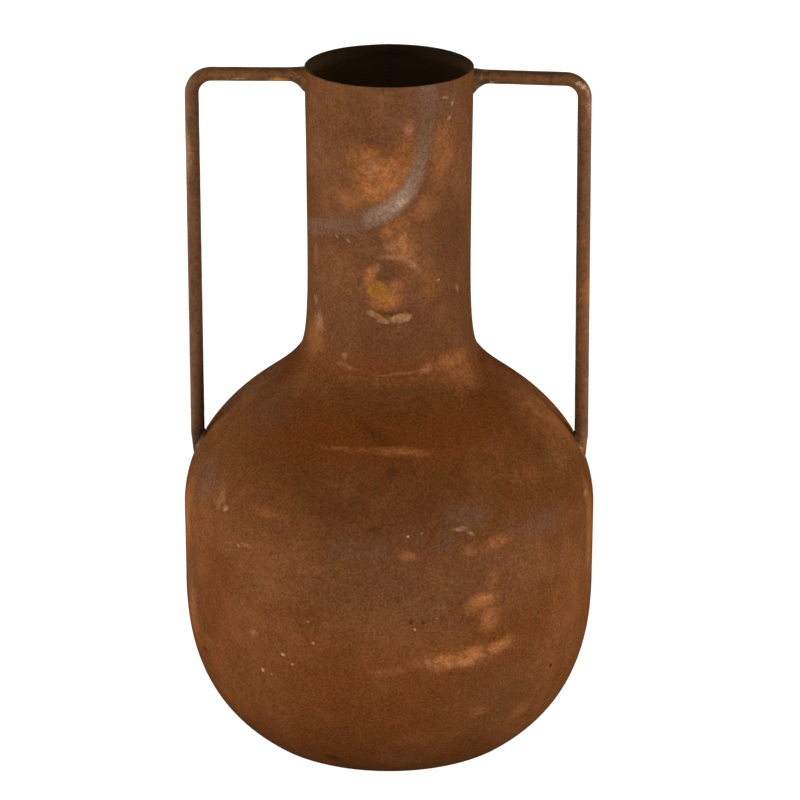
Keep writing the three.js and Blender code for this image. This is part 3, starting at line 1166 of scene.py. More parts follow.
@dataclass(frozen=True)
class SheetBody:
    """The four shells of sheet iron: bowl, belly band, shoulder dome and neck tube."""

    form: BodyForm
    sides: int = 176
    edge_round: float = 0.35
    rim_unevenness: float = 0.3
    base_hollow: float = 0.25
    most_proud: float = 0.2
    base_rings: tuple[float, ...] = (0.2, 0.4, 0.6, 0.8, 0.93)
    base_edge: tuple[Point, ...] = ((-0.8, 0.0), (0.3, 0.25))
    dents: Dents = Dents(slow_size=78.0, slow_depth=0.17, quick_size=26.0, quick_depth=0.06)
    rim_waves: Dents = Dents(slow_size=19.0, slow_depth=0.6, quick_size=5.0, quick_depth=0.4)

    def proud(self, angle: float, height: float) -> float:
        """How far the dented sheet stands out, at an angle in radians and a height."""
        spot = round_spot(angle, self.form.radius(height), height)
        return min(self.dents.at(spot), self.most_proud)

    def _spot(self, angle: float, radius: float, height: float, settle: float) -> Vector:
        """A spot of the sheet with its slight dents.

        Args:
            angle: Its angle from the front, in radians.
            radius: Its radius without dents.
            height: Its height.
            settle: How much of the rim's unevenness it takes, 0 to 1.

        Returns:
            The spot.
        """
        uneven = self.rim_waves.at(round_spot(angle, radius, height))
        drop = settle * self.rim_unevenness * (0.5 + 0.5 * uneven)
        return round_spot(angle, radius + self.proud(angle, height), height - drop)

    def _round(self, course: Triple, slotted: bool) -> list[Vector]:
        """One ring of spots.

        Args:
            course: Its radius, its height and its share of the rim's unevenness.
            slotted: Whether the ring stops at each side of the slot at the back.

        Returns:
            The spots.
        """
        radius, height, settle = course
        start, turn, count = 0.0, math.tau, self.sides
        if slotted:
            half = math.asin(self.form.weld_width / 2 / radius)
            start, turn, count = math.pi + half, math.tau - 2 * half, self.sides + 1
        return [self._spot(start + turn * side / self.sides, radius, height, settle)
                for side in range(count)]

    def _rim_courses(self, outer: float, inner: float, top: float) -> list[Triple]:
        """The rounded cut edge at the mouth, from the outside to the inside.

        Args:
            outer: The outer radius.
            inner: The inner radius.
            top: The height of the rim.

        Returns:
            Radius, height and share of unevenness of each ring.
        """
        soft = self.edge_round
        turn = 0.3 * soft
        return [
            (outer, top - soft, 1.0), (outer - turn, top - turn, 1.0), (outer - soft, top, 1.0),
            (inner + soft, top, 1.0), (inner + turn, top - turn, 1.0), (inner, top - soft, 1.0),
        ]

    def rolled(
        self, name: str, low: float, high: float, finishes: Sequence[Material],
        rim: bool = False,
    ) -> None:
        """A shell rolled from flat sheet, with a slot at the back where its edges are welded.

        Args:
            name: The solid that it stands for.
            low: Its lower end.
            high: Its upper end.
            finishes: Its outer and its inner finish.
            rim: Whether its upper end is the mouth.
        """
        outside = self.form.between(self.form.outside, low, high)
        if rim:
            outside = outside[:-1]
        inside = [(self.form.inner_radius(point[1]), point[1]) for point in outside]
        top = self._rim_courses(self.form.radius(high), self.form.inner_radius(high), high)
        courses = [
            *((*point, 0.0) for point in outside),
            *(top if rim else ()),
            *((*point, 0.0) for point in reversed(inside))]
        outer_strips = len(outside) + (2 if rim else 0)
        draft = MeshDraft()
        rings = draft.shell(
            [self._round(course, True) for course in courses], outer_strips, wrap=False)
        count = len(rings)
        for index in range(count // 2 - 1):
            mirror = count - 1 - index
            for end in (0, -1):
                draft.face((rings[index][end], rings[index + 1][end],
                            rings[mirror - 1][end], rings[mirror][end]))
        seat(draft.made(f"{name}_sheet", finishes), name)

    def spun(
        self, name: str, low: float, high: float, finishes: Sequence[Material],
    ) -> None:
        """A shell spun in one piece and open at both ends.

        Args:
            name: The solid that it stands for.
            low: Its lower end.
            high: Its upper end.
            finishes: Its outer and its inner finish.
        """
        outside = self.form.between(self.form.outside, low, high)
        inside = self.form.between(self.form.inside, low, high)[::-1]
        draft = MeshDraft()
        draft.shell(
            [self._round((*point, 0.0), False) for point in [*outside, *inside]], len(outside))
        seat(draft.made(f"{name}_sheet", finishes), name)

    def bowl(self, name: str, high: float, finishes: Sequence[Material]) -> None:
        """The bowl, whose flat base turns up into its side over a soft edge.

        Args:
            name: The solid that it stands for.
            high: Its upper end.
            finishes: Its outer and its inner finish.
        """
        form = self.form

        def hollow(radius: float) -> float:
            """How far the underside stands off the floor."""
            return self.base_hollow * (1 - (radius / form.base_radius) ** 2)

        flats = [form.base_radius * share for share in self.base_rings]
        outer = [
            *((radius, hollow(radius)) for radius in flats),
            *((form.base_radius + out, up) for out, up in self.base_edge),
            *form.between(form.outside, 0.0, high)[1:]]
        inner = [
            *form.between(form.inside, form.sheet, high)[::-1],
            *((radius, form.sheet + hollow(radius)) for radius in reversed(flats))]
        draft = MeshDraft()
        rings = draft.shell(
            [self._round((*point, 0.0), False) for point in [*outer, *inner]], len(outer),
            around=False)
        draft.fan(rings[0], Vector((0, 0, hollow(0))), 0)
        draft.fan(rings[-1], Vector((0, 0, form.sheet + hollow(0))), 1)
        seat(draft.made(f"{name}_sheet", finishes, sharp=55), name)

    def build(self, finishes: BodyFinishes) -> None:
        """Builds the four shells.

        Args:
            finishes: The body's finishes.
        """
        form, half = self.form, self.form.weld_width / 2
        bowl, band, dome, neck = (
            (outside, finishes.inside)
            for outside in (finishes.bowl, finishes.band, finishes.dome, finishes.neck))
        self.bowl("base_bowl", form.bowl_top - half, bowl)
        self.rolled("belly_band", form.bowl_top + half, form.band_top - half, band)
        self.spun("shoulder_dome", form.band_top + half, form.dome_top - half, dome)
        self.rolled("neck_tube", form.dome_top + half, form.rim, neck, rim=True)


@dataclass(frozen=True)
class SeamWelds:
    """The welds between the shells and down their backs."""

    form: BodyForm
    ground_crown: float = 0.1
    ground_lump_size: float = 6.0
    root: float = 0.7
    root_lump_size: float = 3.0
    bead_crown: float = 0.26
    neck_bead_crown: float = 0.55
    ripple: float = 2.3
    ripple_lead: float = 0.9
    ripple_depth: float = 0.45
    bead_lump_size: float = 4.0
    bead_step: float = 0.45
    bead_end: float = 0.2
    ring_spread: tuple[float, ...] = (-1.0, -0.5, 0.0, 0.5, 1.0)
    bead_spread: tuple[float, ...] = (-1.0, -0.72, -0.38, 0.0, 0.38, 0.72, 1.0)

    @cached_property
    def shells(self) -> SheetBody:
        """The shells beside the welds, whose dents they share."""
        return SheetBody(self.form)

    def ring(self, name: str, height: float, finishes: Sequence[Material]) -> None:
        """A weld round the body, ground flush outside and left proud inside.

        Args:
            name: The solid that it stands for.
            height: The seam's height.
            finishes: Its outer and its inner finish.
        """
        form, half, sides = self.form, self.form.weld_width / 2, self.shells.sides
        rings = []
        for spread, radius, spot in (
                (self.ring_spread, form.radius, self._ground),
                (self.ring_spread[::-1], form.inner_radius, self._rooted)):
            for share in spread:
                at = height + share * half
                rings.append([
                    spot(math.tau * side / sides, radius(at), at, 1 - share * share)
                    for side in range(sides)])
        draft = MeshDraft()
        draft.shell(rings, len(self.ring_spread))
        seat(draft.made(f"{name}_metal", finishes), name)

    def _ground(self, angle: float, radius: float, height: float, bow: float) -> Vector:
        """A spot on a ring's ground face.

        Args:
            angle: Its angle, in radians.
            radius: The sheet's radius there.
            height: Its height.
            bow: How far it is from the ring's edges, 0 to 1.

        Returns:
            The spot.
        """
        spot = round_spot(angle, radius, height)
        lump = 0.4 + 0.9 * noise.noise(spot / self.ground_lump_size)
        proud = self.shells.proud(angle, height) + self.ground_crown * bow * lump
        return round_spot(angle, radius + min(proud, self.shells.most_proud), height)

    def _rooted(self, angle: float, radius: float, height: float, bow: float) -> Vector:
        """A spot on a ring's lumpy inner face, given in the same way."""
        lump = 0.7 + 0.5 * noise.noise(round_spot(angle, radius, height) / self.root_lump_size)
        return round_spot(angle, radius - self.root * bow * lump, height)

    def straight(
        self, name: str, low: float, high: float, crown: float,
        finishes: Sequence[Material],
    ) -> None:
        """The rippled bead down the back of a rolled shell.

        Args:
            name: The solid that it stands for.
            low: Its lower end.
            high: Its upper end.
            crown: How far it stands proud.
            finishes: Its outer and its inner finish.
        """
        form, spread = self.form, self.bead_spread
        count = round((high - low) / self.bead_step)
        rings = []
        for step in range(count + 1):
            at = low + (high - low) * step / count
            rings.append([
                *(self._bead(share, form.radius(at), at, crown) for share in spread),
                *(self._bead(share, form.inner_radius(at), at, -self.root)
                  for share in reversed(spread))])
        inner_side = range(len(spread) - 1, 2 * len(spread) - 1)
        draft = MeshDraft()
        draft.loft(rings, {side: 1 for side in inner_side})
        seat(draft.made(f"{name}_metal", finishes, sharp=60), name)

    def _bead(self, share: float, radius: float, height: float, crown: float) -> Vector:
        """A spot on the bead at the back.

        Args:
            share: How far it is to the side of the middle, -1 to 1.
            radius: The sheet's radius there.
            height: Its height.
            crown: How far the bead's middle stands out, or in where below 0.

        Returns:
            The spot.
        """
        across = share * (self.form.weld_width / 2)
        depth = math.sqrt(radius * radius - across * across)
        bow = 1 - share * share
        phase = (height + self.ripple_lead * bow) / self.ripple
        ridge = 1 - self.ripple_depth + self.ripple_depth * math.sin(math.tau * phase)
        lump = 1 + 0.3 * noise.noise(Vector((across, radius, height)) / self.bead_lump_size)
        return Vector((across, depth + crown * bow * min(ridge * lump, 1.0), height))

    def build(self, finishes: BodyFinishes) -> None:
        """Builds the five welds of the body. A ring ground flush has the finish of its sheet.

        Args:
            finishes: The body's finishes.
        """
        form, half = self.form, self.form.weld_width / 2
        band, dome, neck, bead = (
            (outside, finishes.inside)
            for outside in (finishes.band, finishes.dome, finishes.neck, finishes.weld))
        self.ring("base_weld_ring", form.bowl_top, band)
        self.ring("shoulder_weld_ring", form.band_top, dome)
        self.ring("neck_weld_ring", form.dome_top, neck)
        self.straight(
            "band_seam_weld", form.bowl_top + half, form.band_top - half, self.bead_crown, bead)
        self.straight(
            "neck_seam_weld", form.dome_top + half, form.rim - self.bead_end,
            self.neck_bead_crown, bead)


@dataclass(frozen=True)
class BarHandle:
    """One handle of bent round bar, with its weld at the neck and its weld at the shoulder.

    The drops are from the rim to the bar's middle line, and the insets from the widest radius.
    """

    form: BodyForm
    name: str
    side: int
    drop_at_neck: float
    drop_at_bend: float
    inset_at_bend: float
    inset_at_foot: float
    rod_diameter: float = 8.0
    bend_radius: float = 11.2
    grind_rise: float = 9.0
    grind_angle: float = 7.0
    neck_fillet_length: float = 9.0
    neck_fillet_drop: float = 6.2
    foot_fillet_rise: float = 5.0
    foot_fillet_leg: float = 2.2
    neck_fillet_edge: float = 0.45
    neck_lump_depth: float = 0.35
    foot_lump_depth: float = 0.4
    thin_lump_depth: float = 0.04
    thin_embed: float = 0.1
    embed: float = 0.5
    bore_gap: float = 0.25
    clearance: float = 0.2
    grind_roughness: float = 0.05
    grind_grain: float = 1.5
    sides: int = 36
    step: float = 1.6
    bend_steps: int = 16
    neck_fillet_steps: int = 12
    foot_fillet_steps: int = 9
    dents: Dents = Dents(slow_size=11.0, slow_depth=0.07, quick_size=2.6, quick_depth=0.035)
    lumps: Dents = Dents(slow_size=3.0, slow_depth=0.65, quick_size=1.1, quick_depth=0.35)

    @property
    def rod_radius(self) -> float:
        """Half the bar's diameter."""
        return self.rod_diameter / 2

    @cached_property
    def neck_point(self) -> Vector:
        """Where the bar's middle line meets the neck."""
        height = self.form.rim - self.drop_at_neck
        return Vector((self.side * self.form.radius(height), 0, height))

    @cached_property
    def corner(self) -> Vector:
        """Where the bar's two straight runs would meet."""
        radius = self.form.belly_radius - self.inset_at_bend
        return Vector((self.side * radius, 0, self.form.rim - self.drop_at_bend))

    @cached_property
    def foot(self) -> Vector:
        """Where the bar's middle line meets the shoulder."""
        radius = self.form.belly_radius - self.inset_at_foot
        return Vector((self.side * radius, 0, self.form.shoulder_height(radius)))

    @property
    def outward(self) -> Vector:
        """The direction of the upper run, away from the neck."""
        return (self.corner - self.neck_point).normalized()

    @property
    def downward(self) -> Vector:
        """The direction of the long run, down to the shoulder."""
        return (self.foot - self.corner).normalized()

    def _line(self) -> list[tuple[Vector, Vector]]:
        """The bar's middle line from the neck to the shoulder.

        Returns:
            Its points, each with the direction of the line there.
        """
        turn = self.outward.angle(self.downward)
        reach = self.bend_radius * math.tan(turn / 2)
        start, end = self.corner - self.outward * reach, self.corner + self.downward * reach
        line = self._run(self.neck_point, start, self.outward)
        axis = Vector((0, self.side, 0))
        towards_centre = Matrix.Rotation(math.pi / 2, 3, axis) @ self.outward
        centre = start + towards_centre * self.bend_radius
        for index in range(1, self.bend_steps):
            spin = Matrix.Rotation(turn * index / self.bend_steps, 3, axis)
            line.append((centre + spin @ (start - centre), spin @ self.outward))
        return line + self._run(end, self.foot, self.downward)

    def _run(self, start: Vector, end: Vector, along: Vector) -> list[tuple[Vector, Vector]]:
        """A straight run of the middle line, each of its points with its direction."""
        count = round((end - start).length / self.step)
        return [(start.lerp(end, index / count), along) for index in range(count + 1)]

    def _round(
        self, centre: Vector, along: Vector, radius: Callable[[float], float],
    ) -> list[Vector]:
        """A ring about the middle line.

        Args:
            centre: A point of the line.
            along: The line's direction there.
            radius: The ring's radius by the turn from the across direction, in radians.

        Returns:
            The ring's spots.
        """
        across = Vector((0, 1, 0))
        up = across.cross(along).normalized() * -self.side
        spots = []
        for index in range(self.sides):
            turn = math.tau * index / self.sides
            arm = across * math.cos(turn) + up * math.sin(turn)
            spots.append(centre + arm * radius(turn))
        return spots

    def _on_neck(self, spot: Vector, depth: float) -> Vector:
        """A spot moved along the upper run to the neck.

        Args:
            spot: The spot.
            depth: How deep under the neck's face it ends.

        Returns:
            The moved spot.
        """
        radius = self.form.radius(min(spot.z, self.form.rim)) - depth
        across = self.side * math.sqrt(radius * radius - spot.y * spot.y)
        rise = self.outward.z / self.outward.x * (across - spot.x)
        return Vector((across, spot.y, spot.z + rise))

    def _on_shoulder(self, spot: Vector, depth: float) -> Vector:
        """A spot moved straight down or up to a depth under the shoulder's face."""
        shoulder = self.form.shoulder_height(math.hypot(spot.x, spot.y))
        return Vector((spot.x, spot.y, shoulder - depth))

    def _ground_off(self, spot: Vector) -> Vector:
        """A spot kept inside the slant that the grinder left on the outside of the foot.

        Args:
            spot: The spot.

        Returns:
            The spot, moved in to the slant where it stood outside.
        """
        top = self.foot.z + self.grind_rise
        if spot.z > top:
            return spot
        lean = math.tan(math.radians(self.grind_angle))
        limit = abs(self.foot.x) + self.rod_radius - (top - spot.z) * lean
        rough = self.grind_roughness * noise.noise(spot / self.grind_grain)
        return Vector((self.side * min(abs(spot.x), limit + rough), spot.y, spot.z))

    def _free(self, spot: Vector) -> bool:
        """Whether a spot stands clear of the neck and the shoulder.

        Args:
            spot: The spot.

        Returns:
            True where it does.
        """
        beside_neck = self.form.radius(min(spot.z, self.form.rim)) + self.clearance
        over_shoulder = self._on_shoulder(spot, 0).z + self.clearance
        return abs(spot.x) > beside_neck and (
            spot.z > over_shoulder or spot.z > self.foot.z + 2 * self.step)

    def bar(self, finish: Material) -> None:
        """The bent bar, from inside the neck's wall to inside the shoulder's.

        Args:
            finish: Its finish.
        """
        rings = []
        for centre, along in self._line():
            ring = [spot + (spot - centre) / self.rod_radius * self.dents.at(spot)
                    for spot in self._round(centre, along, lambda turn: self.rod_radius)]
            if all(self._free(spot) for spot in ring):
                rings.append(ring)
        first = [self._on_neck(spot, self.embed) for spot in rings[0]]
        foot = [self._on_shoulder(spot, self.embed) for spot in rings[-1]]
        middle = [high.lerp(low, 0.5) for high, low in zip(rings[-1], foot)]
        rings = [first, *rings, middle, foot]
        draft = MeshDraft()
        draft.loft([[self._ground_off(spot) for spot in ring] for ring in rings])
        seat(draft.made(f"{self.name}_bar", (finish,), sharp=35), self.name)

    def neck_weld(self, finish: Material) -> None:
        """The weld at the neck, most of which hangs in the corner under the bar.

        Args:
            finish: Its finish.
        """
        rings = []
        for share, left in self._thinning(self.neck_fillet_steps):
            centre = self.neck_point + self.outward * share * self.neck_fillet_length
            drop = self.neck_fillet_drop * left
            ring = self._round(
                centre, self.outward,
                lambda turn: self._hanging(turn, drop) + self.neck_fillet_edge * left)
            rings.append([self._lumpy(spot, centre, self.neck_lump_depth, left) for spot in ring])
        rings[0] = [self._on_neck(spot, self.embed) for spot in rings[0]]
        rings[1:] = [
            [spot if abs(spot.x) > self.form.radius(spot.z)
             else self._on_neck(spot, self.thin_embed) for spot in ring]
            for ring in rings[1:]]
        self._collar(f"{self.name}_neck_weld", rings, self.neck_point, self.outward, finish)

    def _hanging(self, turn: float, drop: float) -> float:
        """The distance to a circle that touches the bar's top and hangs below it, at a turn."""
        shift, radius = drop / 2, self.rod_radius + drop / 2
        return -shift * math.sin(turn) + math.sqrt(radius ** 2 - (shift * math.cos(turn)) ** 2)

    @staticmethod
    def _thinning(steps: int) -> list[Point]:
        """The steps along a weld, 0 to 1, and how much of its thickness is left at each."""
        return [(index / steps, (1 - index / steps) ** 2) for index in range(steps + 1)]

    def _lumpy(self, spot: Vector, centre: Vector, depth: float, left: float) -> Vector:
        """A spot of a weld, moved in or out as far as the thickness left there allows."""
        reach = depth * min(1, 2 * left) + self.thin_lump_depth
        return spot + (spot - centre).normalized() * reach * self.lumps.at(spot)

    def foot_weld(self, finish: Material) -> None:
        """The small weld round the foot, ground away on the outside with the bar.

        Args:
            finish: Its finish.
        """
        rings = []
        for share, left in self._thinning(self.foot_fillet_steps):
            lift = Vector((0, 0, share * self.foot_fillet_rise))
            depth = self.embed if share == 0 else 0.0
            ring = self._round(
                self.foot, self.downward,
                lambda turn: self.rod_radius + self.foot_fillet_leg * left)
            ring = [self._lumpy(spot, self.foot, self.foot_lump_depth, left) for spot in ring]
            ring = [self._on_shoulder(spot, depth) + lift for spot in ring]
            rings.append([self._ground_off(spot) for spot in ring])
        self._collar(f"{self.name}_foot_weld", rings, self.foot, self.downward, finish)

    def _collar(
        self, name: str, rings: list[list[Vector]], start: Vector, along: Vector,
        finish: Material,
    ) -> None:
        """Closes a weld's outer face with a bore that lies just inside the bar.

        Args:
            name: The solid that the weld stands for.
            rings: The rings of its outer face, from the body out along the bar.
            start: Where the bar's middle line meets the body.
            along: The bar's direction there.
            finish: Its finish.
        """
        def bored(spot: Vector) -> Vector:
            """The spot of the bore that belongs to one of the outer face.

            Args:
                spot: The spot of the outer face.

            Returns:
                The spot of the bore.
            """
            foot = start + along * (spot - start).dot(along)
            arm = spot - foot
            return foot + arm * min(1.0, (self.rod_radius - self.bore_gap) / arm.length)

        loop = [*rings, *([bored(spot) for spot in ring] for ring in reversed(rings))]
        draft = MeshDraft()
        draft.shell(loop, len(loop))
        seat(draft.made(f"{name}_metal", (finish,), sharp=50), name)

    def build(self, bar: Material, weld: Material) -> None:
        """Builds the bar and its two welds.

        Args:
            bar: The bar's finish.
            weld: The welds' finish.
        """
        self.bar(bar)
        self.neck_weld(weld)
        self.foot_weld(weld)


@dataclass(frozen=True)
class Softbox:
    """One wide, low, soft lamp, with its place and width in metres and its power in watts."""

    name: str
    place: Triple
    width: float
    power: float


@dataclass(frozen=True)
class Studio:
    """A pale floor, soft lamps on all four sides, and the camera. Sizes in metres."""

    camera_place: Triple = (0.0, -1.8514, 0.8942)
    camera_tilt: float = 69.311
    lens: float = 153.0
    sensor_width: float = 36.0
    shift_x: float = 0.013625
    shift_y: float = 0.0086875
    floor_size: float = 12.0
    aim: Triple = (0.0, 0.0, 0.2)
    softboxes: tuple[Softbox, ...] = (
        Softbox("left_softbox", (-1.9, -0.4, 0.36), 2.4, 41.0),
        Softbox("right_softbox", (1.9, -0.4, 0.36), 2.4, 41.0),
        Softbox("front_softbox", (0.0, -2.6, 0.24), 1.6, 35.0),
        Softbox("back_softbox", (0.0, 2.6, 0.5), 1.6, 20.0),
    )
    lamp_height: float = 0.5
    sky: float = 0.104
    floor_colour: Colour = (0.45, 0.45, 0.45, 1.0)
    floor_glow: float = 0.92
    shadow_near: float = 0.5
    shadow_far: float = 1.6

    def camera(self) -> None:
        """Makes the camera at the photograph's angle."""
        data = bpy.data.cameras.new("camera")
        data.lens = self.lens
        data.sensor_width = self.sensor_width
        data.shift_x = self.shift_x
        data.shift_y = self.shift_y
        eye = bpy.data.objects.new("camera", data)
        eye.location = self.camera_place
        eye.rotation_euler = (math.radians(self.camera_tilt), 0.0, 0.0)
        bpy.context.collection.objects.link(eye)
        bpy.context.scene.camera = eye

    def softbox(self, box: Softbox) -> None:
        """Makes one of the lamps, which faces the vase.

        Args:
            box: The lamp's measures.
        """
        data = bpy.data.lights.new(box.name, "AREA")
        data.shape = "RECTANGLE"
        data.size = box.width
        data.size_y = self.lamp_height
        data.energy = box.power
        lamp = bpy.data.objects.new(box.name, data)
        lamp.location = box.place
        towards = Vector(self.aim) - Vector(box.place)
        lamp.rotation_euler = towards.to_track_quat("-Z", "Y").to_euler()
        bpy.context.collection.objects.link(lamp)

    def floor(self) -> None:
        """Makes the pale floor, which shows white but keeps the vase's shadow near it."""
        bench = NodeBench(bpy.data.materials.new("pale_floor"))
        seen = self._seen(bench)
        mat = bench.node("ShaderNodeBsdfDiffuse", None, {"Color": self.floor_colour})
        distance = bench.length(bench.place())
        level = self.floor_glow + distance.rise(
            self.shadow_near, self.shadow_far, 1 - self.floor_glow)
        glow = bench.node("ShaderNodeEmission", None, {"Strength": level * seen})
        both = bench.node("ShaderNodeAddShader", None, {0: mat, 1: glow})
        bench.node("ShaderNodeOutputMaterial", None, {"Surface": both})
        half = self.floor_size / 2
        corners = [(-half, -half, 0), (half, -half, 0), (half, half, 0), (-half, half, 0)]
        mesh = bpy.data.meshes.new("floor")
        mesh.from_pydata(corners, [], [(0, 1, 2, 3)])
        mesh.materials.append(bench.owner)
        ground = bpy.data.objects.new("floor", mesh)
        bpy.context.collection.objects.link(ground)

    def sky_light(self) -> None:
        """Makes the world: white where it is seen, softer where it lights the vase."""
        bench = NodeBench(bpy.data.worlds.new("soft_sky"))
        strength = self.sky + (1 - self.sky) * self._seen(bench)
        background = bench.node(
            "ShaderNodeBackground", None, {"Color": (1.0, 1.0, 1.0, 1.0), "Strength": strength})
        bench.node("ShaderNodeOutputWorld", None, {"Surface": background})
        bpy.context.scene.world = bench.owner

    @staticmethod
    def _seen(bench: NodeBench) -> Wire:
        """Which rays show what they meet, straight, in a reflection or through glass.

        Args:
            bench: The bench.

        Returns:
            1 for those rays and 0 for the others.
        """
        seen = path = bench.node("ShaderNodeLightPath", output="Is Camera Ray")
        for kind in ("Is Glossy Ray", "Is Transmission Ray"):
            seen = seen.largest(path.beside(kind))
        return seen

    def build(self) -> None:
        """Sets up the whole studio."""
        bpy.context.scene.view_settings.view_transform = "Standard"
        self.camera()
        self.floor()
        self.sky_light()
        for box in self.softboxes:
            self.softbox(box)
        log.info("studio ready")


def ovals(*rows: tuple[float, ...]) -> list[Mark]:
    """The marks of a table whose rows give their fields in order."""
    return [Mark(*row) for row in rows]


def neck_marks() -> Marks:
    """The marks on the front of the neck, one of them a painted highlight.

    Returns:
        The marks by tone.
    """
    return {
        Tone.ORANGE_BLOOM: ovals(
            (-7, 346, 30, 32, 0, 1.0, 0.6), (-17, 360, 24, 12, 10, 0.7, 0.9),
            (2, 353, 18, 18, 0, 0.9, 0.8), (39, 362, 18, 32, 0, 0.55, 0.9),
            (11, 354, 22, 32, 0, 0.72, 0.9), (11, 305, 18, 24, 0, 0.5, 0.9),
            (-26, 333, 26, 13, -10, 0.45, 0.9), (14, 376, 7, 18, 4, 0.5, 0.9),
            (7, 322, 15, 10, 0, 0.45, 0.9), (24, 330, 22, 14, 25, 0.4, 0.95),
            (-1, 316, 10, 10, 0, 0.52, 0.8), (10, 310, 7, 14, 0, 1.0), (-2, 277, 21, 13, 0, 0.8),
            (5, 285, 9, 9, 0, 0.55, 0.8), (-13, 291, 7, 15, -25, 0.8),
            (45, 236, 36, 11, 3, 0.5, 0.95), (53, 229, 26, 12, 0, 0.5, 0.95),
            (-62, 246, 22, 24, 0, 0.38, 0.95), (-62, 295, 6, 14, 0, 0.4, 0.9)),
        Tone.RED_RUST: ovals((0, 226, 160, 50, 0, 0.7, 0.95)),
        Tone.TAN_SCUFF: ovals(
            (10, 311, 5, 13, 0, 0.25, 0.8), (4, 302, 20, 4, 0, 0.6, 0.8),
            (16, 297, 12, 4, -40, 0.7, 0.6), (1, 309, 9, 6, 0, 0.5, 0.8),
            (-12, 353, 13, 12, 0, 0.5, 0.9), (-10, 295, 6, 7, -35, 0.6),
            (-9, 267, 14, 4.2, -32, 0.78, 0.35), (-4, 264, 8, 3, 0, 0.9, 0.35),
            (8, 266, 13.5, 5.6, 6, 0.92, 0.3), (-57, 257, 10, 13, 15, 0.65, 0.8),
            (-62, 268, 5, 7, 0, 0.5), (13, 374, 4, 9, 5, 0.5, 0.8), (45, 379, 4, 3, 0, 0.7, 0.5),
            (41, 391, 6, 1.7, -10, 0.7, 0.6), (-31, 242, 3.3, 4.6, -10, 0.6),
            (-29, 236, 14, 3, -10, 0.45, 0.8), (24, 235, 10, 4, 30, 0.55),
            (7, 234, 28, 1.8, 5, 0.4, 0.9), (55, 277, 3, 5.5, 10, 0.6)),
        Tone.DARK_STAIN: ovals(
            (-2, 290, 9, 5.5, 10, 0.45, 0.8), (5, 296, 14, 7, 0, 0.42, 0.85),
            (1, 269, 19, 2.4, 0, 0.5, 0.6), (-33, 310, 34, 7, 0, 0.35, 0.9),
            (50, 309, 32, 74, 0, 0.5, 0.95)),
        Tone.OCHRE: ovals(
            (-8, 282, 12, 11, 0, 1.0, 0.6), (-1, 277, 14, 8, 0, 0.6, 0.8),
            (30, 285, 17, 18, 0, 0.28, 0.8)),
        Tone.GREY_FILM: ovals((28, 395, 20, 8, -5, 1.0, 0.9), (30, 388, 42, 28, 0, 0.5, 0.95)),
        Tone.BARE_METAL: ovals((-3, 331, 10, 4, 25, 0.8, 0.8)),
        Tone.PALE_SPECK: ovals(
            # (7.5, 333, ...) is a painted highlight: a shine on the bare part of the streak,
            # since the sheet has no specular.
            (7.5, 333, 9, 4.5, 30, 1.0, 0.9), (48, 387, 2.8, 2, 30, 0.4, 0.6),
            (-39, 311, 3.5, 1.4, -35, 0.35), (-29, 310, 4.2, 1.6, -40, 0.35),
            (37, 286, 1.7, 1.3, 0, 0.8, 0.5)),
    }


def neck_streaks() -> tuple[Stroke, ...]:
    """The long curved streak across the neck and up to the rim: a grey film, rubbed bare inside.

    Returns:
        The strokes.
    """
    def stroke(tone: Tone, half_width: float, weight: tuple[Point, ...]) -> Stroke:
        """A stroke along the streak.

        Args:
            tone: Its tone.
            half_width: Half its width.
            weight: The curve of its strength.

        Returns:
            The stroke.
        """
        return Stroke(
            tone, centre_across=-25.0, centre_height=392.0, start=-115.0, end=10.0,
            half_width=half_width,
            reach=((0.0, 0.9), (0.04, 0.858), (0.09, 0.808), (0.15, 0.762), (0.21, 0.728),
                   (0.26, 0.705), (0.32, 0.684), (0.38, 0.669), (0.43, 0.651), (0.5, 0.61),
                   (0.56, 0.58), (0.62, 0.545), (0.76, 0.49), (0.9, 0.476), (1.0, 0.476)),
            weight=weight)

    film = (
        (0.0, 0.6), (0.1, 0.85), (0.2, 1.0), (0.3, 1.0), (0.6, 1.0), (0.7, 0.75), (0.78, 0.5),
        (0.88, 0.5), (0.95, 0.85), (1.0, 1.0))
    bare = (
        (0.0, 0.15), (0.12, 0.1), (0.24, 0.0), (0.28, 0.35), (0.33, 0.9), (0.42, 1.0),
        (0.48, 0.7), (0.52, 0.5), (0.6, 0.3), (0.7, 0.15), (0.85, 0.05), (1.0, 0.2))
    return (stroke(Tone.GREY_FILM, 6.6, film), stroke(Tone.BARE_METAL, 5.6, bare))


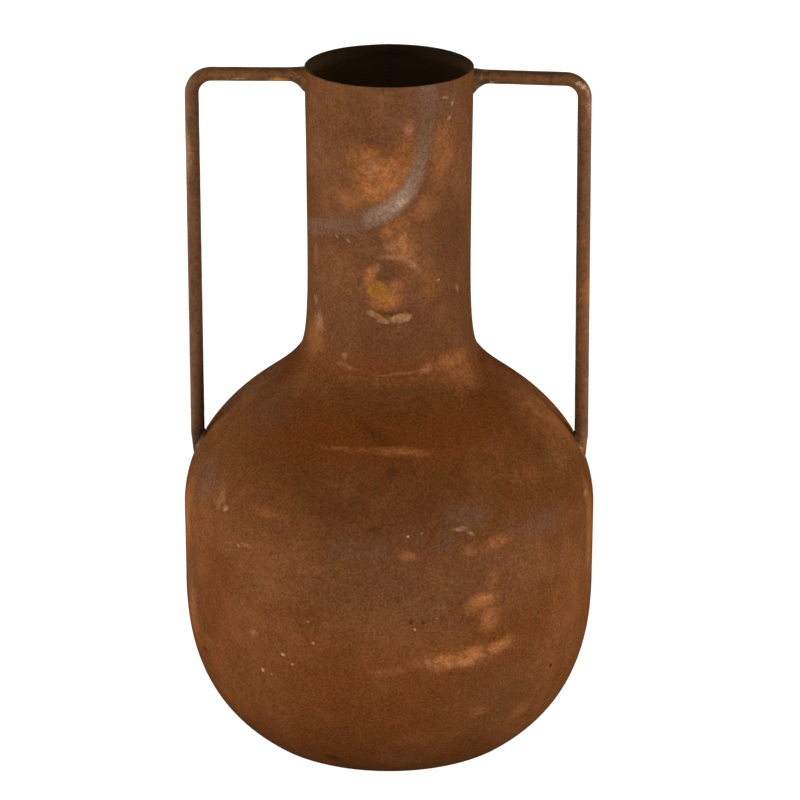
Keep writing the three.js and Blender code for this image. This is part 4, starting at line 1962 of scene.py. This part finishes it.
def belly_marks() -> Marks:
    """The marks on the front of the dome, the band and the bowl, with painted light along the
    dome's outlines.

    Returns:
        The marks by tone.
    """
    return {
        Tone.ORANGE_BLOOM: ovals(
            (4, 200.9, 31, 5.5, -3, 0.8, 0.9), (-19, 200.9, 22, 3, 0, 0.4, 0.8),
            (-8, 201.3, 18, 3.5, 0, 0.3, 0.9), (2, 232, 70, 12, 0, 0.25, 0.95),
            (48, 181, 30, 14, 0, 0.2, 0.95), (51, 229, 34, 20, 0, 0.5, 0.95),
            # (86, 198, ...) is painted light: a wide orange band over the dome's right outline,
            # lifting the shade that falls there.
            (-58, 228, 34, 26, 0, 0.15, 0.95), (86, 198, 66, 66, 0, 0.7, 0.95),
            (5, 151, 11, 5.5, 0, 0.6, 0.9), (31, 153, 18, 8, 5, 0.6, 0.95),
            (22, 151, 9, 7, 0, 0.45, 0.9), (26, 120, 20, 10, 5, 0.9, 0.9),
            (29, 131, 9, 14, 0, 0.35, 0.9), (28, 108, 14, 18, 0, 0.5, 0.9),
            (28, 103, 5, 7, 0, 0.4, 0.9), (15, 85.5, 18, 11, 0, 1.0, 0.7),
            (22, 87, 26, 12.5, 8, 1.0, 0.7), (31, 89.5, 22, 9.5, 12, 0.85, 0.8),
            (9, 85, 22, 8, 0, 0.25, 0.9), (22, 87, 60, 16, 3, 0.3, 0.95),
            (26, 49, 15, 9, 0, 0.32, 0.9), (42, 40, 15, 15, 0, 0.35, 0.9),
            (0, 81.5, 32, 6, 8, 0.2, 0.95), (-37, 166, 26, 6, 0, 0.22, 0.9),
            (-73, 82, 18, 40, 0, 0.5, 0.9), (76, 132, 18, 58, 0, 0.5, 0.9),
            (-78, 140, 22, 50, 0, 0.6, 0.9)),
        Tone.TAN_SCUFF: ovals(
            (-56, 163, 9, 14, 0, 0.5, 0.9), (-42, 145, 8, 3, 0, 0.5),
            (-40, 93, 6, 6, 0, 0.4, 0.9), (74, 154, 11, 4, 0, 0.6, 0.9),
            (27, 121, 8, 2.6, 12, 0.6, 0.8), (19, 84, 16, 5, 0, 0.4, 0.9),
            (10.5, 86, 4, 8, 15, 0.6, 0.7), (-85, 187, 8, 12, 0, 0.3, 0.9),
            # (-93, 203, ...) is painted light: a wide tan band over the dome's left outline,
            # lifting the shade that falls there.
            (-93, 203, 50, 66, 0, 0.38, 0.95), (66, 180, 30, 22, 0, 0.2, 0.95)),
        Tone.DARK_STAIN: ovals(
            (-6, 208, 22, 10, -15, 0.65, 0.9), (1, 192, 8, 10, 0, 0.55, 0.9),
            (-14, 174, 40, 16, 0, 0.4, 0.9), (-4, 165, 10, 6, 0, 0.45, 0.8),
            (-38, 62, 66, 62, 0, 0.24, 0.95), (32, 56, 62, 60, 0, 0.2, 0.95),
            (-6, 155, 6, 3.5, 0, 0.4), (6, 112, 2.8, 3.6, 0, 1.0, 0.4),
            (9, 111, 2, 2.2, 0, 1.0, 0.4), (17, 78, 2.4, 2.6, 0, 0.8, 0.4),
            (16, 122, 3.5, 3, 0, 0.5), (52, 64, 3, 3, 0, 0.9, 0.4),
            (-65, 63, 7, 4.2, 0, 0.9, 0.5), (2, 125, 3.4, 3, 0, 0.5), (-36, 75, 3, 2, 0, 0.6),
            (-20, 13, 10, 8, -10, 0.9), (37, 101, 1.8, 6, 0, 0.4), (-46, 220, 5.3, 1.7, 0, 0.5)),
        Tone.GREY_FILM: ovals(
            (22, 169, 36, 17, 0, 0.65, 0.95), (16, 158, 16, 20, 0, 0.5, 0.95),
            (46, 155, 64, 18, 0, 0.45, 0.95), (-8, 154, 50, 17, 0, 0.5, 0.95),
            (-69, 168, 50, 28, 0, 0.6, 0.95), (-62, 208, 46, 30, 0, 0.36, 0.95),
            (-74, 108, 34, 80, 0, 0.25, 0.95), (34, 60, 80, 66, 0, 0.2, 0.95),
            (10, 122, 56, 44, 0, 0.3, 0.95), (8, 134, 230, 70, 0, 0.26, 0.95)),
        Tone.RED_RUST: ovals((0, 206, 200, 50, 0, 0.85, 0.95), (0, 60, 240, 100, 0, 0.3, 0.95)),
        Tone.OCHRE: ovals((6, 201, 26, 6, -3, 0.35, 0.9), (25, 118, 18, 10, 5, 0.35, 0.9)),
        Tone.PALE_SPECK: ovals(
            (20, 163.5, 9, 2.4, 0, 0.45, 0.9), (23, 160.5, 4.5, 1.9, -40, 0.4, 0.9),
            (-53, 160, 4.3, 3.6, 40, 0.6, 0.8), (5, 162, 1.7, 1.2, 0, 0.8),
            (9, 163, 1.7, 1.7, 0, 0.5), (-21, 96, 1.6, 1.6, 0, 0.8, 0.5),
            (-30, 85, 2.0, 1.8, 0, 0.9, 0.5), (-37, 71, 1.9, 1.8, 0, 0.7, 0.5),
            (-34, 70, 1.4, 1.4, 0, 0.5, 0.5), (-27, 80, 1.9, 1.6, 0, 0.5),
            (7, 107, 1.7, 1.6, 0, 0.9, 0.5), (13, 113, 1.5, 1.2, 0, 0.7),
            (-22, 108, 1.8, 1.2, 0, 0.5), (-45, 143, 2.3, 1.8, 0, 0.5)),
    }


def left_rubs_and_painted_light() -> tuple[RubOrPaintedLight, ...]:
    """The spots on the left bar: rust and wear, with painted shade near the foot and along the
    top, and painted light on the outer side.

    Returns:
        The spots, from the neck out and down.
    """
    return (
        RubOrPaintedLight((-62.5, -3, 391.8), (8, 5, 3.0), srgb(192, 124, 48), 1.0),
        RubOrPaintedLight((-53, -3, 391), (5, 5, 4), srgb(150, 96, 56), 0.6),
        RubOrPaintedLight((-84, -4, 393), (7, 3, 1.3), srgb(158, 116, 74), 0.6),
        # Painted light: the outer side of the upright run, lighter where the side light falls on
        # it.
        RubOrPaintedLight((-114, -2, 350), (5, 5, 18), srgb(152, 110, 76), 0.5),
        # Painted shade: the lower run darkened towards its foot, where the body shades it.
        RubOrPaintedLight((-105.5, 0, 190), (11, 14, 60), srgb(34, 20, 8), 0.8),
        RubOrPaintedLight((-109, -2, 171), (13, 13, 22), srgb(36, 22, 9), 1.0),
        # Painted shade along the top of the upper run, which little light reaches from above.
        RubOrPaintedLight((-84, 2, 400.5), (42, 7, 3.4), srgb(60, 48, 18), 0.6),
        RubOrPaintedLight((-84, -4, 396), (34, 4, 3), srgb(112, 76, 34), 0.4),
        RubOrPaintedLight((-113, -2, 394), (9, 7, 9), srgb(88, 64, 22), 0.5),
    )


def right_rubs_and_painted_light() -> tuple[RubOrPaintedLight, ...]:
    """The spots on the right bar: rust and wear, with painted shade along the top of the upper
    run.

    Returns:
        The spots, the dark ones first.
    """
    dark, pale = srgb(46, 38, 16), srgb(176, 154, 118)
    return (
        # Painted shade along the top of the upper run, which little light reaches from above.
        RubOrPaintedLight((90, 1, 396.5), (34, 7, 3.4), dark, 0.9),
        RubOrPaintedLight((111, 0, 394), (9, 8, 5), dark, 1.0),
        RubOrPaintedLight((115.5, 0, 388), (4.0, 8, 14), dark, 1.0),
        RubOrPaintedLight((106.4, -4, 390.2), (2.6, 3, 1.7), pale, 0.8),
        RubOrPaintedLight((109.3, -4, 388.2), (2.4, 3, 2.0), pale, 0.8),
        RubOrPaintedLight((111.6, -4, 385), (1.7, 3, 3.0), pale, 0.5),
        RubOrPaintedLight((112.6, -3, 376), (2.4, 4, 8), srgb(156, 122, 98), 0.35),
        RubOrPaintedLight((114, -2, 266), (5, 5, 16), srgb(164, 94, 38), 0.35),
        RubOrPaintedLight((57, -3, 390), (4, 4, 2.4), srgb(180, 120, 56), 0.7),
    )


def main() -> None:
    """Builds the studio, the finishes and the vase."""
    logging.basicConfig(level=logging.INFO, format="%(name)s: %(message)s")
    form = BodyForm()
    Studio().build()
    neck = RustedSheet(
        "neck_rust", form, form.neck_radius, form.dome_top, form.rim, neck_marks(),
        neck_streaks(), deep=srgb(97, 58, 34), ground=srgb(108, 67, 41),
        warm=srgb(118, 75, 48), olive=srgb(97, 65, 33)).dress()
    ends = (0.0, form.bowl_top, form.band_top, form.dome_top)
    bowl, band, dome = (
        RustedSheet(f"{name}_rust", form, form.belly_radius, low, high, belly_marks()).dress()
        for name, low, high in zip(("bowl", "band", "dome"), ends, ends[1:]))
    inside = InsideWithPaintedLight("inside_with_painted_light", form).dress()
    weld = WeldMetal("weld_metal").dress()
    finishes = BodyFinishes(bowl, band, dome, neck, inside, weld)
    SheetBody(form).build(finishes)
    SeamWelds(form).build(finishes)
    left = BarHandle(
        form, "handle_left", -1, drop_at_neck=5.3, drop_at_bend=5.0, inset_at_bend=9.0,
        inset_at_foot=8.4)
    right = BarHandle(
        form, "handle_right", 1, drop_at_neck=6.4, drop_at_bend=8.4, inset_at_bend=10.0,
        inset_at_foot=7.7)
    left.build(RustedBar("left_bar_rust", left_rubs_and_painted_light()).dress(), weld)
    right.build(RustedBar("right_bar_rust", right_rubs_and_painted_light()).dress(), weld)


if __name__ == "__main__":
    main()
